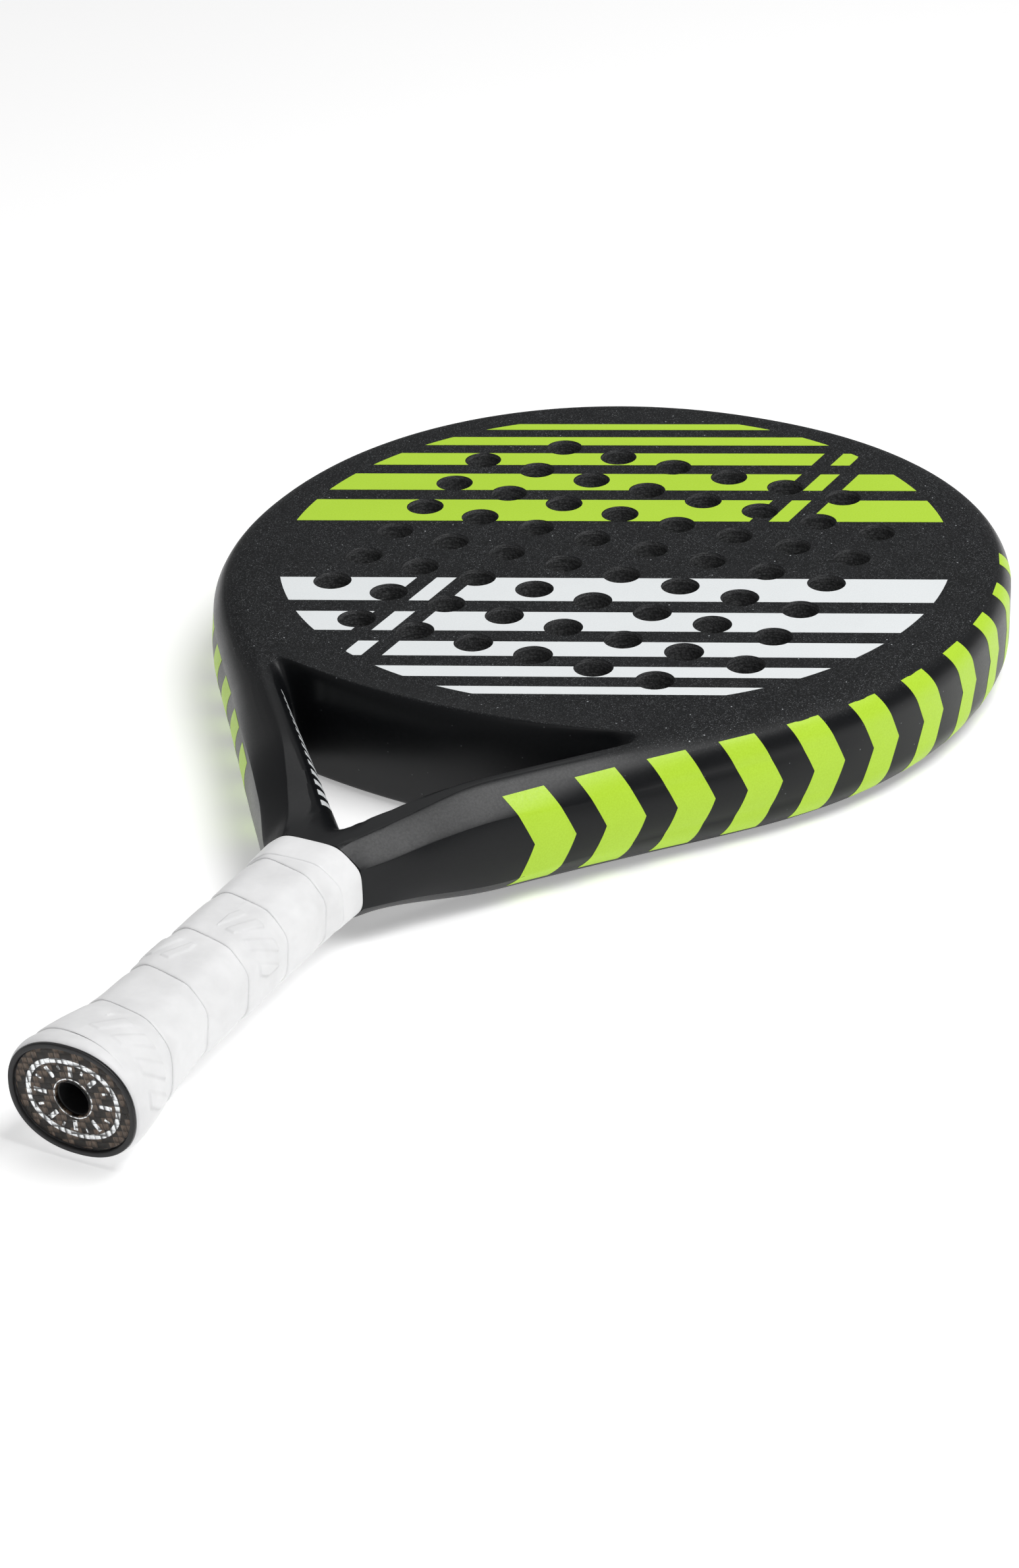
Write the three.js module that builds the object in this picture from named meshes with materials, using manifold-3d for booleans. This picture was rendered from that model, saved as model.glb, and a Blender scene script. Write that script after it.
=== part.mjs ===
// Padel racket: a drilled foam-cored head in a tubular carbon frame, an open
// throat, and a wrapped octagonal handle closed by a flared butt cap.
// Millimetres. X runs across the racket, Y from butt to tip, Z from the rear
// face to the front face. The origin is under the middle of the bounding box.
import * as THREE from 'three';
import { mergeVertices } from 'three/addons/utils/BufferGeometryUtils.js';
import Module from 'manifold-3d';

const wasm = await Module();
wasm.setup();

// ---- driving sizes ----
const TIP_Y = 227.5;
const BUTT_Y = -227.5;
const DEPTH = 38;
const MID_Z = DEPTH / 2;
const GAP = 0.3;
const BELOW_Z = -20;
const ABOVE_Z = 60;
const QUARTER_TURN = Math.PI / 2;

// head outline: a superellipse, then a curve, then straight arms to the collar
const HEAD_HALF_WIDTH = 129.5;
const HEAD_HALF_HEIGHT = 129.7;
const HEAD_CENTRE_Y = TIP_Y - HEAD_HALF_HEIGHT;
const HEAD_POWER = 2.1;
const HEAD_START_ANGLE = -0.3;
const HEAD_LOW_Y = -60;
const COLLAR_Y = -100;
const COLLAR_HALF_X = 16.2;
const COLLAR_HALF_Z = 12.7;
const ARM_END = [74.5, -25];
const ARM_HANDLE = 32;
const HEAD_HANDLE = 39;

// outer bevel of the rim
const BEVEL_DEPTH_COLLAR = 6.2;
const BEVEL_DEPTH_HEAD = 12;
const BEVEL_DROP_COLLAR = 6.2;
const BEVEL_DROP_HEAD = 11;
const BEVEL_POWER_COLLAR = 1.1;
const BEVEL_POWER_HEAD = 2;
const TAPER_LENGTH = 40;
const ARM_SIDE_BOW = 1.5;

// throat: a rounded triangle at mid depth that opens out to a larger one
const THROAT_MID = {
  corner: [60, -14], bridge: -25, bow: 0.0031, apex: -80.6, cornerCut: 12, apexCut: 7,
};
const THROAT_FACE = {
  corner: [71.4, -9.3], bridge: -20.5, bow: 0.0022, apex: -98.5, cornerCut: 16, apexCut: 7,
};
const THROAT_POWER_BRIDGE = 1.9;
const THROAT_POWER_ARM = 1.6;
const BRIDGE_STEPS = 6;
const CORNER_STEPS = 5;
const ARM_STEPS = 6;
const APEX_STEPS = 6;
const WALL_STEPS = 4;

// laminate stack
const TUBE_WIDTH = 19;
const SHEET_THICK = 1.2;
const SHEET_INSET = 12;
const SHEET_SETBACK = 3;
const BRIDGE_DEPTH = 14;
const BRIDGE_LIMIT_Y = -27.3;
const BRIDGE_WALL = 2.2;
const BRIDGE_WALL_BOW = 1.8;
const BRIDGE_CAVITY_HALF_X = 44;
const JOINT_LINE_Y = THROAT_FACE.bridge + BRIDGE_DEPTH;

// gusset that joins the arms above the handle
const GUSSET_TOP_Y = -66;
const GUSSET_WAIST_Y = -87;
const GUSSET_FOOT_Y = -99.7;
const GUSSET_HALF_WIDE = 4.5;
const GUSSET_HALF_SLIM = 1.5;

// drilled holes: a square lattice that skips the four corners
const HOLE_PITCH = 21.04;
const HOLE_RADIUS = 6;
const HOLE_COLUMNS = 8;
const HOLE_ROWS = 8;
const HOLE_FIRST_ROW_Y = 20.2;
const HOLE_SIDES = 9;

// tube bore
const STEM_X = 5.5;
const STEM_HALF_X = 3.5;
const STEM_HALF_Z = 6.4;
const STEM_WALL = 1.2;
const STEM_END_Y = -205;
const STEM_OVERLAP = 0.6;
const BORE_INSET_ARM = 10.3;
const BORE_INSET_HEAD = 9.6;
const BORE_HALF_X = 7.2;
const BORE_HALF_Z = 14.8;
const BORE_START_HALF_X = 4.6;
const BORE_START_HALF_Z = 9;
const BORE_START_Y = -86;
const BORE_POWER = 2.2;
const BORE_SIDES = 12;
// stations that sweep from the stem into the arm: x, y, normal x, normal y, half x, half z
const BORE_SWEEP = [
  [7.4, -98, 0.95, -0.3, 2.5, 6.4],
  [12.5, -89.5, 0.87, -0.49, 4, 8.6],
];

// handle, given as half sizes across X and Z
const SHAFT = [12.8, 9.3];
const BASE_WRAP = [14, 10.5];
const TAPE_OUTER = [15.9, 12.3];
const FINISH_OUTER = [16.8, 13.1];
const FINISH_LENGTH = 11;
const CORNER_X = 0.47;
const CORNER_Z = 0.496;
const CORNER_EASE = 0.12;
const SEAM_PITCH = 21.5;
const SEAM_DEPTH = 0.35;
const SEAM_WIDTH = 2;
const FLARE_START_Y = -187;
const FLARE_LENGTH = 40;
const TAPE_STEPS = 34;
const TAPE_END_ROUND = 3.5;
const TAPE_END_LOSS = 0.8;
const TAPE_INNER_STEPS = 16;

// butt cap: an oval rim round a recessed badge, with a bush for a wrist cord
const OVAL_POWER = 2.2;
const OVAL_SIDES = 24;
const RIM_HALF = [19.9, 16.9];
const RIM_SWELL = [1, 0.9];
const RIM_SHOULDER_Y = -226.8;
const RIM_WIDEST_Y = -227;
const RIM_EDGE = 0.7;
const CAP_TOP_Y = -195;
const CAP_SLEEVE = 0.9;
const CAP_STEPS = 8;
const CAP_FLOOR_Y = -225.2;
const CAP_FLOOR_THICK = 3.5;
const SOCKET_EASE = 0.6;
const KNOT_ROOM = [11, 8];
const BADGE_HALF = [18, 15];
const BADGE_HOLE = 5.4;
const DISC_Y = [-225.5, -225.8];
const EMBLEM_Y = [-226.1, -226.3];
const EMBLEM_OUTER = [14.8, 12];
const EMBLEM_INNER = [13.6, 10.8];
const EMBLEM_SIDES = 20;
const DOME_BACK_Y = -226.6;
const DOME_EDGE_Y = -227;
const DOME_FRONT_Y = -227.4;
const DOME_ROUND = 1.6;
const CORD_RADIUS = 5.15;
const BUSH_RADIUS = 6.1;
const BUSH_CLEAR = 6.4;
const BUSH_LENGTH = 7.2;

// tacks that hold the cap to the pallets
const TACK_Y = -199;
const TACK_SHANK = 0.8;
const TACK_HEAD = 1.8;
const TACK_HEAD_THICK = 0.6;
const TACK_POINT_Z = 7.2;
const TACK_SIDES = 10;

// ---- small maths ----
const clamp01 = (value) => Math.min(1, Math.max(0, value));
const mix = (from, to, share) => from + (to - from) * share;

function ease(value) {
  const share = clamp01(value);
  return share * share * (3 - 2 * share);
}

function superPoint(angle, halfX, halfY, power) {
  const cos = Math.cos(angle);
  const sin = Math.sin(angle);
  const x = halfX * Math.sign(cos) * Math.abs(cos) ** (2 / power);
  const y = halfY * Math.sign(sin) * Math.abs(sin) ** (2 / power);
  return [x, y];
}

function cubic(a, b, c, d, share) {
  const rest = 1 - share;
  const blend = (k) => rest ** 3 * a[k] + 3 * rest * rest * share * b[k]
    + 3 * rest * share * share * c[k] + share ** 3 * d[k];
  return [blend(0), blend(1)];
}

function quadratic(a, b, c, share) {
  const rest = 1 - share;
  return [0, 1].map((k) => rest * rest * a[k] + 2 * rest * share * b[k] + share * share * c[k]);
}

function unit(from, to) {
  const length = Math.hypot(to[0] - from[0], to[1] - from[1]);
  return [(to[0] - from[0]) / length, (to[1] - from[1]) / length];
}

// ---- solids ----

// Closed solid from rings of equal length: first and last are capped.
function ringSolid(rings, capOf = fanCap) {
  const count = rings[0].length;
  const positions = rings.flat(2);
  const index = [];
  for (let ring = 0; ring + 1 < rings.length; ring += 1) {
    for (let k = 0; k < count; k += 1) {
      const a = ring * count + k;
      const b = ring * count + ((k + 1) % count);
      index.push(a, b, b + count, a, b + count, a + count);
    }
  }
  const last = (rings.length - 1) * count;
  for (const [a, b, c] of capOf(count)) {
    index.push(a, c, b);
    index.push(last + a, last + b, last + c);
  }
  const geometry = new THREE.BufferGeometry();
  geometry.setAttribute('position', new THREE.Float32BufferAttribute(positions, 3));
  geometry.setIndex(index);
  return toSolid(geometry);
}

// Cap for a convex ring.
function fanCap(count) {
  return Array.from({ length: count - 2 }, (_, k) => [0, k + 1, k + 2]);
}

// Cap for a ring that is mirrored left to right, with its tip half way round.
function stripCap(count) {
  const faces = [];
  for (let low = 0, high = count - 1; low + 1 < high; low += 1, high -= 1) {
    faces.push([low, low + 1, high]);
    if (low + 1 < high - 1) {
      faces.push([low + 1, high - 1, high]);
    }
  }
  return faces;
}

function signedVolume(points, index) {
  let sum = 0;
  for (let k = 0; k < index.length; k += 3) {
    const [a, b, c] = [0, 1, 2].map((j) => 3 * index[k + j]);
    sum += points[a] * (points[b + 1] * points[c + 2] - points[b + 2] * points[c + 1])
      - points[a + 1] * (points[b] * points[c + 2] - points[b + 2] * points[c])
      + points[a + 2] * (points[b] * points[c + 1] - points[b + 1] * points[c]);
  }
  return sum;
}

function toSolid(geometry) {
  const bare = geometry.clone();
  bare.deleteAttribute('normal');
  bare.deleteAttribute('uv');
  const merged = mergeVertices(bare, 1e-4);
  const vertProperties = new Float32Array(merged.attributes.position.array);
  const triVerts = new Uint32Array(merged.index.array);
  if (signedVolume(vertProperties, triVerts) < 0) {
    for (let k = 0; k < triVerts.length; k += 3) {
      [triVerts[k + 1], triVerts[k + 2]] = [triVerts[k + 2], triVerts[k + 1]];
    }
  }
  return new wasm.Manifold(new wasm.Mesh({ numProp: 3, vertProperties, triVerts }));
}

function toGeometry(solid) {
  const mesh = solid.getMesh();
  const geometry = new THREE.BufferGeometry();
  geometry.setAttribute('position', new THREE.Float32BufferAttribute(mesh.vertProperties, 3));
  geometry.setIndex(Array.from(mesh.triVerts));
  geometry.computeVertexNormals();
  return geometry;
}

// Upright prism from a list of [x, y] points that goes round a convex or mirrored shape.
function prism(points, low, high, capOf = fanCap) {
  return ringSolid([low, high].map((z) => points.map(([x, y]) => [x, y, z])), capOf);
}

function block(x0, x1, y0, y1, z0, z1) {
  return prism([[x0, y0], [x1, y0], [x1, y1], [x0, y1]], z0, z1);
}

// ---- head outline ----

// Right half of the outline, collar to tip, as [x, y, normalX, normalY].
function outlineHalf(armSteps, bendSteps, headSteps) {
  const start = [COLLAR_HALF_X, COLLAR_Y];
  const along = unit(start, ARM_END);
  const point = (angle) => {
    const [x, y] = superPoint(angle, HEAD_HALF_WIDTH, HEAD_HALF_HEIGHT, HEAD_POWER);
    return [x, y + HEAD_CENTRE_Y];
  };
  const joint = point(HEAD_START_ANGLE);
  const rising = unit(point(HEAD_START_ANGLE - 0.001), joint);
  const armHandle = [ARM_END[0] + along[0] * ARM_HANDLE, ARM_END[1] + along[1] * ARM_HANDLE];
  const headHandle = [joint[0] - rising[0] * HEAD_HANDLE, joint[1] - rising[1] * HEAD_HANDLE];
  const points = [];
  for (let k = 0; k < armSteps; k += 1) {
    points.push([0, 1].map((j) => mix(start[j], ARM_END[j], k / armSteps)));
  }
  for (let k = 0; k < bendSteps; k += 1) {
    points.push(cubic(ARM_END, armHandle, headHandle, joint, k / bendSteps));
  }
  for (let k = 0; k <= headSteps; k += 1) {
    points.push(point(mix(HEAD_START_ANGLE, QUARTER_TURN, k / headSteps)));
  }
  points[points.length - 1] = [0, TIP_Y];
  return points.map((here, k) => {
    if (k === points.length - 1) {
      return [0, TIP_Y, 0, 1];
    }
    const [dx, dy] = unit(points[Math.max(0, k - 1)], points[k + 1]);
    return [here[0], here[1], dy, -dx];
  });
}

function mirrored(half) {
  const left = half.slice(0, -1).reverse().map(([x, y]) => [-x, y]);
  return [...half.map(([x, y]) => [x, y]), ...left];
}

// Front-surface height: the arms thin down toward the collar.
function topZ(y) {
  return mix(MID_Z + COLLAR_HALF_Z, DEPTH, ease((y - COLLAR_Y) / TAPER_LENGTH));
}

function bevelAt(y) {
  const taper = (y - COLLAR_Y) / TAPER_LENGTH;
  return {
    depth: mix(BEVEL_DEPTH_COLLAR, BEVEL_DEPTH_HEAD, Math.sqrt(clamp01(taper))),
    drop: mix(BEVEL_DROP_COLLAR, BEVEL_DROP_HEAD, ease(taper / 2)),
    power: mix(BEVEL_POWER_COLLAR, BEVEL_POWER_HEAD, ease((y + 70) / 90)),
    bow: ARM_SIDE_BOW * ease((y - COLLAR_Y) / 20) * ease((50 - y) / 60),
  };
}

// The whole moulding before it is split: rings climb from the rear face to the front.
function bodySolid() {
  const half = outlineHalf(7, 5, 16);
  const front = [];
  for (let k = 0; k <= WALL_STEPS; k += 1) {
    const angle = (k / WALL_STEPS) * QUARTER_TURN;
    front.push(half.map(([x, y, nx, ny]) => {
      const { depth, drop, power, bow } = bevelAt(y);
      const inward = mix(depth, bow, Math.cos(angle) ** (2 / power));
      const z = topZ(y) - drop * (1 - Math.sin(angle) ** (2 / power));
      const cut = y === COLLAR_Y ? [inward / nx, 0] : [inward * nx, inward * ny];
      return [x - cut[0], y - cut[1], z];
    }));
  }
  const close = (ring) => {
    const left = ring.slice(0, -1).reverse().map(([x, y, z]) => [-x, y, z]);
    return [...ring.map(([x, y, z]) => [Math.abs(x) < 0.01 ? 0 : x, y, z]), ...left];
  };
  const rear = [...front].reverse().map((ring) => ring.map(([x, y, z]) => [x, y, DEPTH - z]));
  const middle = half.map(([x, y]) => [x, y, MID_Z]);
  return ringSolid([...rear, middle, ...front].map(close), stripCap);
}

// ---- throat ----

// Right half of a throat outline, bridge to apex.
function throatHalf({ corner, bridge, bow, apex, cornerCut, apexCut }) {
  const foot = [0, apex];
  const down = unit(corner, foot);
  const edge = (x) => [x, bridge + bow * x * x];
  const before = edge(corner[0] - cornerCut);
  const after = [corner[0] + down[0] * cornerCut, corner[1] + down[1] * cornerCut];
  const low = [-down[0] * apexCut, apex - down[1] * apexCut];
  const points = [];
  for (let k = 0; k < BRIDGE_STEPS; k += 1) {
    points.push(edge((before[0] * k) / BRIDGE_STEPS));
  }
  for (let k = 0; k < CORNER_STEPS; k += 1) {
    points.push(quadratic(before, corner, after, k / CORNER_STEPS));
  }
  for (let k = 0; k < ARM_STEPS; k += 1) {
    points.push([0, 1].map((j) => mix(after[j], low[j], k / ARM_STEPS)));
  }
  for (let k = 0; k <= APEX_STEPS / 2; k += 1) {
    points.push(quadratic(low, foot, [-low[0], low[1]], k / APEX_STEPS));
  }
  return points;
}

// Solid that fills the throat and flares out to both faces.
function throatSolid() {
  const inner = throatHalf(THROAT_MID);
  const outer = throatHalf(THROAT_FACE);
  const overshoot = 4;
  const half = [];
  for (let k = 0; k <= WALL_STEPS; k += 1) {
    const angle = (k / WALL_STEPS) * QUARTER_TURN;
    half.push(inner.map((mid, j) => {
      const turned = ease((j - BRIDGE_STEPS) / CORNER_STEPS);
      const power = mix(THROAT_POWER_BRIDGE, THROAT_POWER_ARM, turned);
      const open = 1 - Math.cos(angle) ** (2 / power);
      const rise = Math.sin(angle) ** (2 / power);
      const face = outer[j];
      return [mix(mid[0], face[0], open), mix(mid[1], face[1], open), mix(MID_Z, topZ(face[1]), rise)];
    }));
  }
  half.push(outer.map(([x, y]) => [x, y, DEPTH + overshoot]));
  const rear = half.slice(1).reverse().map((ring) => ring.map(([x, y, z]) => [x, y, DEPTH - z]));
  const close = (ring) => {
    const left = ring.slice(1, -1).reverse().map(([x, y, z]) => [-x, y, z]);
    return [...ring, ...left];
  };
  return ringSolid([...rear, ...half].map(close), fromBridgeCap);
}

// Cap for a mirrored ring that starts on the axis at the bridge.
function fromBridgeCap(count) {
  const faces = [[0, 1, count - 1]];
  for (let low = 1, high = count - 1; low + 1 < high; low += 1, high -= 1) {
    faces.push([low, low + 1, high]);
    if (low + 1 < high - 1) {
      faces.push([low + 1, high - 1, high]);
    }
  }
  return faces;
}

// ---- plan regions of the head ----

// Prism under a bowed line y = base + bow * x * x, used to cut the head off the throat.
function belowLine(base, bow) {
  const reach = 1.25 * HEAD_HALF_WIDTH;
  const steps = 16;
  const points = [];
  for (let k = 0; k <= steps; k += 1) {
    const x = mix(reach, -reach, k / steps);
    points.push([x, base + bow * x * x]);
  }
  const low = points.map(([x]) => [x, BUTT_Y - 30]).reverse();
  const count = points.length;
  const cap = () => {
    const faces = [];
    for (let k = 0; k + 1 < count; k += 1) {
      const far = 2 * count - 1 - k;
      faces.push([k, k + 1, far], [k + 1, far - 1, far]);
    }
    return faces;
  };
  return prism([...points, ...low], BELOW_Z, ABOVE_Z, cap);
}

// Head area inside the outline, inset all round and ended at a bowed line.
function headRegion(inset, base, bow, low, high) {
  const half = outlineHalf(7, 7, 20).filter(([, y]) => y > HEAD_LOW_Y);
  const points = half.map(([x, y, nx, ny], k) => {
    if (k === half.length - 1) {
      return [0, y - inset];
    }
    return [x - inset * nx, y - inset * ny];
  });
  return prism(mirrored(points), low, high, stripCap).subtract(belowLine(base, bow));
}

function holeCentres() {
  const centres = [];
  for (let row = 0; row < HOLE_ROWS; row += 1) {
    const end = row === 0 || row === HOLE_ROWS - 1;
    const first = end ? 1 : 0;
    for (let column = first; column < HOLE_COLUMNS - first; column += 1) {
      const x = (column - (HOLE_COLUMNS - 1) / 2) * HOLE_PITCH;
      centres.push([x, HOLE_FIRST_ROW_Y + row * HOLE_PITCH]);
    }
  }
  return centres;
}

function drill(solid) {
  let result = solid;
  for (const [x, y] of holeCentres()) {
    const ring = [];
    for (let k = 0; k < HOLE_SIDES; k += 1) {
      const angle = ((k + 0.5) / HOLE_SIDES) * 2 * Math.PI;
      ring.push([x + HOLE_RADIUS * Math.cos(angle), y + HOLE_RADIUS * Math.sin(angle)]);
    }
    result = result.subtract(prism(ring, BELOW_Z, ABOVE_Z));
  }
  return result;
}

// ---- bore of the frame tube ----

// Path of the bore for the right half as [x, y, normalX, normalY, halfX, halfZ].
function borePath(shrink, endY) {
  const stem = (y) => [STEM_X, y, 1, 0, STEM_HALF_X - STEM_WALL, STEM_HALF_Z - STEM_WALL];
  const path = [stem(endY), stem(COLLAR_Y - 4), ...BORE_SWEEP];
  for (const [x, y, nx, ny] of outlineHalf(9, 6, 13)) {
    if (y <= BORE_START_Y) {
      continue;
    }
    const inset = mix(BORE_INSET_ARM, BORE_INSET_HEAD, ease((y + 20) / 40));
    const grow = ease((y + 92) / 30);
    const halfX = mix(BORE_START_HALF_X, BORE_HALF_X, grow);
    const halfZ = mix(BORE_START_HALF_Z, BORE_HALF_Z, grow);
    path.push([x - nx * inset, y - ny * inset, nx, ny, halfX, halfZ]);
  }
  return path.map(([x, y, nx, ny, halfX, halfZ]) => [x, y, nx, ny, halfX - shrink, halfZ - shrink]);
}

function boreSolid(shrink, endY) {
  const right = borePath(shrink, endY);
  const flip = ([x, y, nx, ny, halfX, halfZ]) => [-x, y, -nx, ny, halfX, halfZ];
  const left = right.slice(0, -1).reverse().map(flip);
  const rings = [...right, ...left].map(([x, y, nx, ny, halfX, halfZ]) => {
    const ring = [];
    for (let k = 0; k < BORE_SIDES; k += 1) {
      const angle = (k / BORE_SIDES) * 4 * QUARTER_TURN;
      const [across, up] = superPoint(angle, halfX, halfZ, BORE_POWER);
      ring.push([x + nx * across, y + ny * across, MID_Z + up]);
    }
    return ring;
  });
  return ringSolid(rings);
}

// ---- handle rings ----

// Octagon with eased corners at one height along the handle. `round` swells it to an oval.
function octagonRing(y, halfX, halfZ, round = 0) {
  const flatX = 1 - CORNER_X;
  const flatZ = 1 - CORNER_Z;
  const quarter = [
    [1, flatZ - CORNER_EASE],
    [1 - CORNER_X * CORNER_EASE, flatZ + CORNER_Z * CORNER_EASE],
    [flatX + CORNER_X * CORNER_EASE, 1 - CORNER_Z * CORNER_EASE],
    [flatX - CORNER_EASE, 1],
  ];
  const back = [...quarter].reverse();
  const ring = [];
  const turns = [[1, 1, quarter], [-1, 1, back], [-1, -1, quarter], [1, -1, back]];
  for (const [turnX, turnZ, corners] of turns) {
    for (const [cx, cz] of corners) {
      const reach = Math.hypot(cx, cz);
      const oval = ((cx / reach) ** OVAL_POWER + (cz / reach) ** OVAL_POWER) ** (-1 / OVAL_POWER);
      const scale = mix(1, oval / reach, round);
      ring.push([halfX * cx * turnX * scale, y, MID_Z + halfZ * cz * turnZ * scale]);
    }
  }
  return ring;
}

function ovalRing(y, halfX, halfZ, sides = OVAL_SIDES, power = OVAL_POWER) {
  const ring = [];
  for (let k = 0; k < sides; k += 1) {
    const [x, z] = superPoint((k / sides) * 4 * QUARTER_TURN, halfX, halfZ, power);
    ring.push([x, y, MID_Z + z]);
  }
  return ring;
}

function roundRing(y, radius) {
  return ovalRing(y, radius, radius, 16, 2);
}

// Round hole right through the butt, along the handle.
function buttHole(radius) {
  return ringSolid([roundRing(BUTT_Y - 15, radius), roundRing(STEM_END_Y + 5, radius)]);
}

// How far the wrapped handle swells out at the butt: 0 on the shaft, 1 at the widest.
function flare(y) {
  return ease((FLARE_START_Y - y) / FLARE_LENGTH);
}

function shaftSize(y, start) {
  const end = [0, 1].map((k) => RIM_HALF[k] - (TAPE_OUTER[k] - start[k]) + RIM_SWELL[k]);
  const share = flare(y);
  return [mix(start[0], end[0], share), mix(start[1], end[1], share), share];
}

function handleRings(start, from, to, steps) {
  const rings = [];
  for (let k = 0; k <= steps; k += 1) {
    const y = mix(from, to, k / steps);
    const [halfX, halfZ, round] = shaftSize(y, start);
    rings.push(octagonRing(y, halfX, halfZ, round));
  }
  return rings;
}

const grown = (half, by) => [half[0] + by, half[1] + by];

// ---- the pieces of the head ----
const throat = throatSolid();
const body = bodySolid().subtract(throat);
const SHEET_LINE_Y = THROAT_FACE.bridge + SHEET_SETBACK;
const sheetRoomAt = (low, high) => headRegion(SHEET_INSET, SHEET_LINE_Y - GAP, THROAT_FACE.bow, low, high);
const sheetRoom = [
  sheetRoomAt(DEPTH - SHEET_THICK - GAP, ABOVE_Z),
  sheetRoomAt(BELOW_Z, SHEET_THICK + GAP),
];

function gussetPlan(grow) {
  const wide = GUSSET_HALF_WIDE + grow;
  const slim = GUSSET_HALF_SLIM + grow;
  const foot = GUSSET_FOOT_Y - grow;
  const right = [[wide, GUSSET_TOP_Y], [wide, GUSSET_WAIST_Y], [slim, foot]];
  return [...right, ...right.map(([x, y]) => [-x, y]).reverse()];
}

function stemSolid(side, grow) {
  const x0 = STEM_X - STEM_HALF_X - grow;
  const x1 = STEM_X + STEM_HALF_X + grow;
  const half = STEM_HALF_Z + grow;
  const [low, high] = side > 0 ? [x0, x1] : [-x1, -x0];
  return block(low, high, STEM_END_Y - grow, COLLAR_Y + STEM_OVERLAP + grow, MID_Z - half, MID_Z + half);
}

function frameTube() {
  let tube = body.subtract(headRegion(TUBE_WIDTH, BRIDGE_LIMIT_Y, THROAT_MID.bow, BELOW_Z, ABOVE_Z));
  tube = tube.subtract(prism(gussetPlan(GAP), BELOW_Z, ABOVE_Z));
  for (const room of sheetRoom) {
    tube = tube.subtract(room);
  }
  tube = tube.add(stemSolid(1, 0)).add(stemSolid(-1, 0));
  return tube.subtract(boreSolid(0, STEM_END_Y - 5));
}

function frameFoam() {
  return boreSolid(GAP, STEM_END_Y + 2);
}

function gusset() {
  return body.intersect(prism(gussetPlan(0), BELOW_Z, ABOVE_Z));
}

function bridgeBlank() {
  const inset = TUBE_WIDTH + GAP;
  const region = headRegion(inset, BRIDGE_LIMIT_Y + GAP, THROAT_MID.bow, BELOW_Z, ABOVE_Z);
  let bridge = body.intersect(region).intersect(belowLine(JOINT_LINE_Y, THROAT_FACE.bow));
  for (const room of sheetRoom) {
    bridge = bridge.subtract(room);
  }
  return bridge;
}

function bridgePocket(shrink, backLine) {
  const front = THROAT_MID.bridge + BRIDGE_WALL + BRIDGE_WALL_BOW + shrink;
  const wall = BRIDGE_WALL + SHEET_THICK + shrink;
  const reach = BRIDGE_CAVITY_HALF_X - shrink;
  return block(-reach, reach, -40, 20, wall, DEPTH - wall)
    .subtract(belowLine(front, THROAT_MID.bow))
    .intersect(belowLine(backLine, THROAT_FACE.bow));
}

function throatBridge() {
  return bridgeBlank().subtract(bridgePocket(0, JOINT_LINE_Y + 5));
}

function bridgeFoam() {
  return bridgePocket(GAP, JOINT_LINE_Y);
}

function coreFoam() {
  const low = SHEET_THICK + GAP;
  return drill(headRegion(TUBE_WIDTH + GAP, JOINT_LINE_Y + GAP, THROAT_FACE.bow, low, DEPTH - low));
}

function faceSheet(low) {
  const inset = SHEET_INSET + GAP;
  return drill(headRegion(inset, SHEET_LINE_Y, THROAT_FACE.bow, low, low + SHEET_THICK));
}

// ---- the pieces of the handle ----
const WRAP_TOP_Y = COLLAR_Y - GAP;
const TAPE_END_Y = RIM_SHOULDER_Y + GAP;

// Round-headed tack, pointing from one face in to the pallet. A grown one cuts its hole.
function tackSolid(side, grow) {
  const shank = TACK_SHANK + grow;
  const head = TACK_HEAD + grow;
  const at = (radius, z) => {
    const ring = [];
    for (let k = 0; k < TACK_SIDES; k += 1) {
      const angle = (k / TACK_SIDES) * 4 * QUARTER_TURN;
      ring.push([radius * Math.cos(angle), TACK_Y + radius * Math.sin(angle), z]);
    }
    return ring;
  };
  const faceZ = SHAFT[1] + GAP + CAP_SLEEVE;
  const under = faceZ - TACK_HEAD_THICK - grow;
  const levels = [[head, faceZ], [head, under], [shank, under], [shank, TACK_POINT_Z - grow]];
  if (grow > 0) {
    levels.unshift([head, faceZ + 3]);
  }
  return ringSolid(levels.map(([radius, z]) => at(radius, MID_Z + side * z)));
}

function handleCore() {
  const half = STEM_X - STEM_HALF_X - GAP;
  return block(-half, half, STEM_END_Y, WRAP_TOP_Y, MID_Z - STEM_HALF_Z, MID_Z + STEM_HALF_Z);
}

function pallet(side) {
  const rings = [octagonRing(WRAP_TOP_Y, ...SHAFT), octagonRing(STEM_END_Y, ...SHAFT)];
  const reach = STEM_X + STEM_HALF_X + GAP;
  const room = STEM_HALF_Z + GAP;
  const split = MID_Z + (side * GAP) / 2;
  const [low, high] = side > 0 ? [BELOW_Z, split] : [split, ABOVE_Z];
  return ringSolid(rings)
    .subtract(block(-2 * SHAFT[0], 2 * SHAFT[0], BUTT_Y, 0, low, high))
    .subtract(block(-reach, reach, BUTT_Y, 0, MID_Z - room, MID_Z + room))
    .subtract(tackSolid(side, GAP));
}

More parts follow.
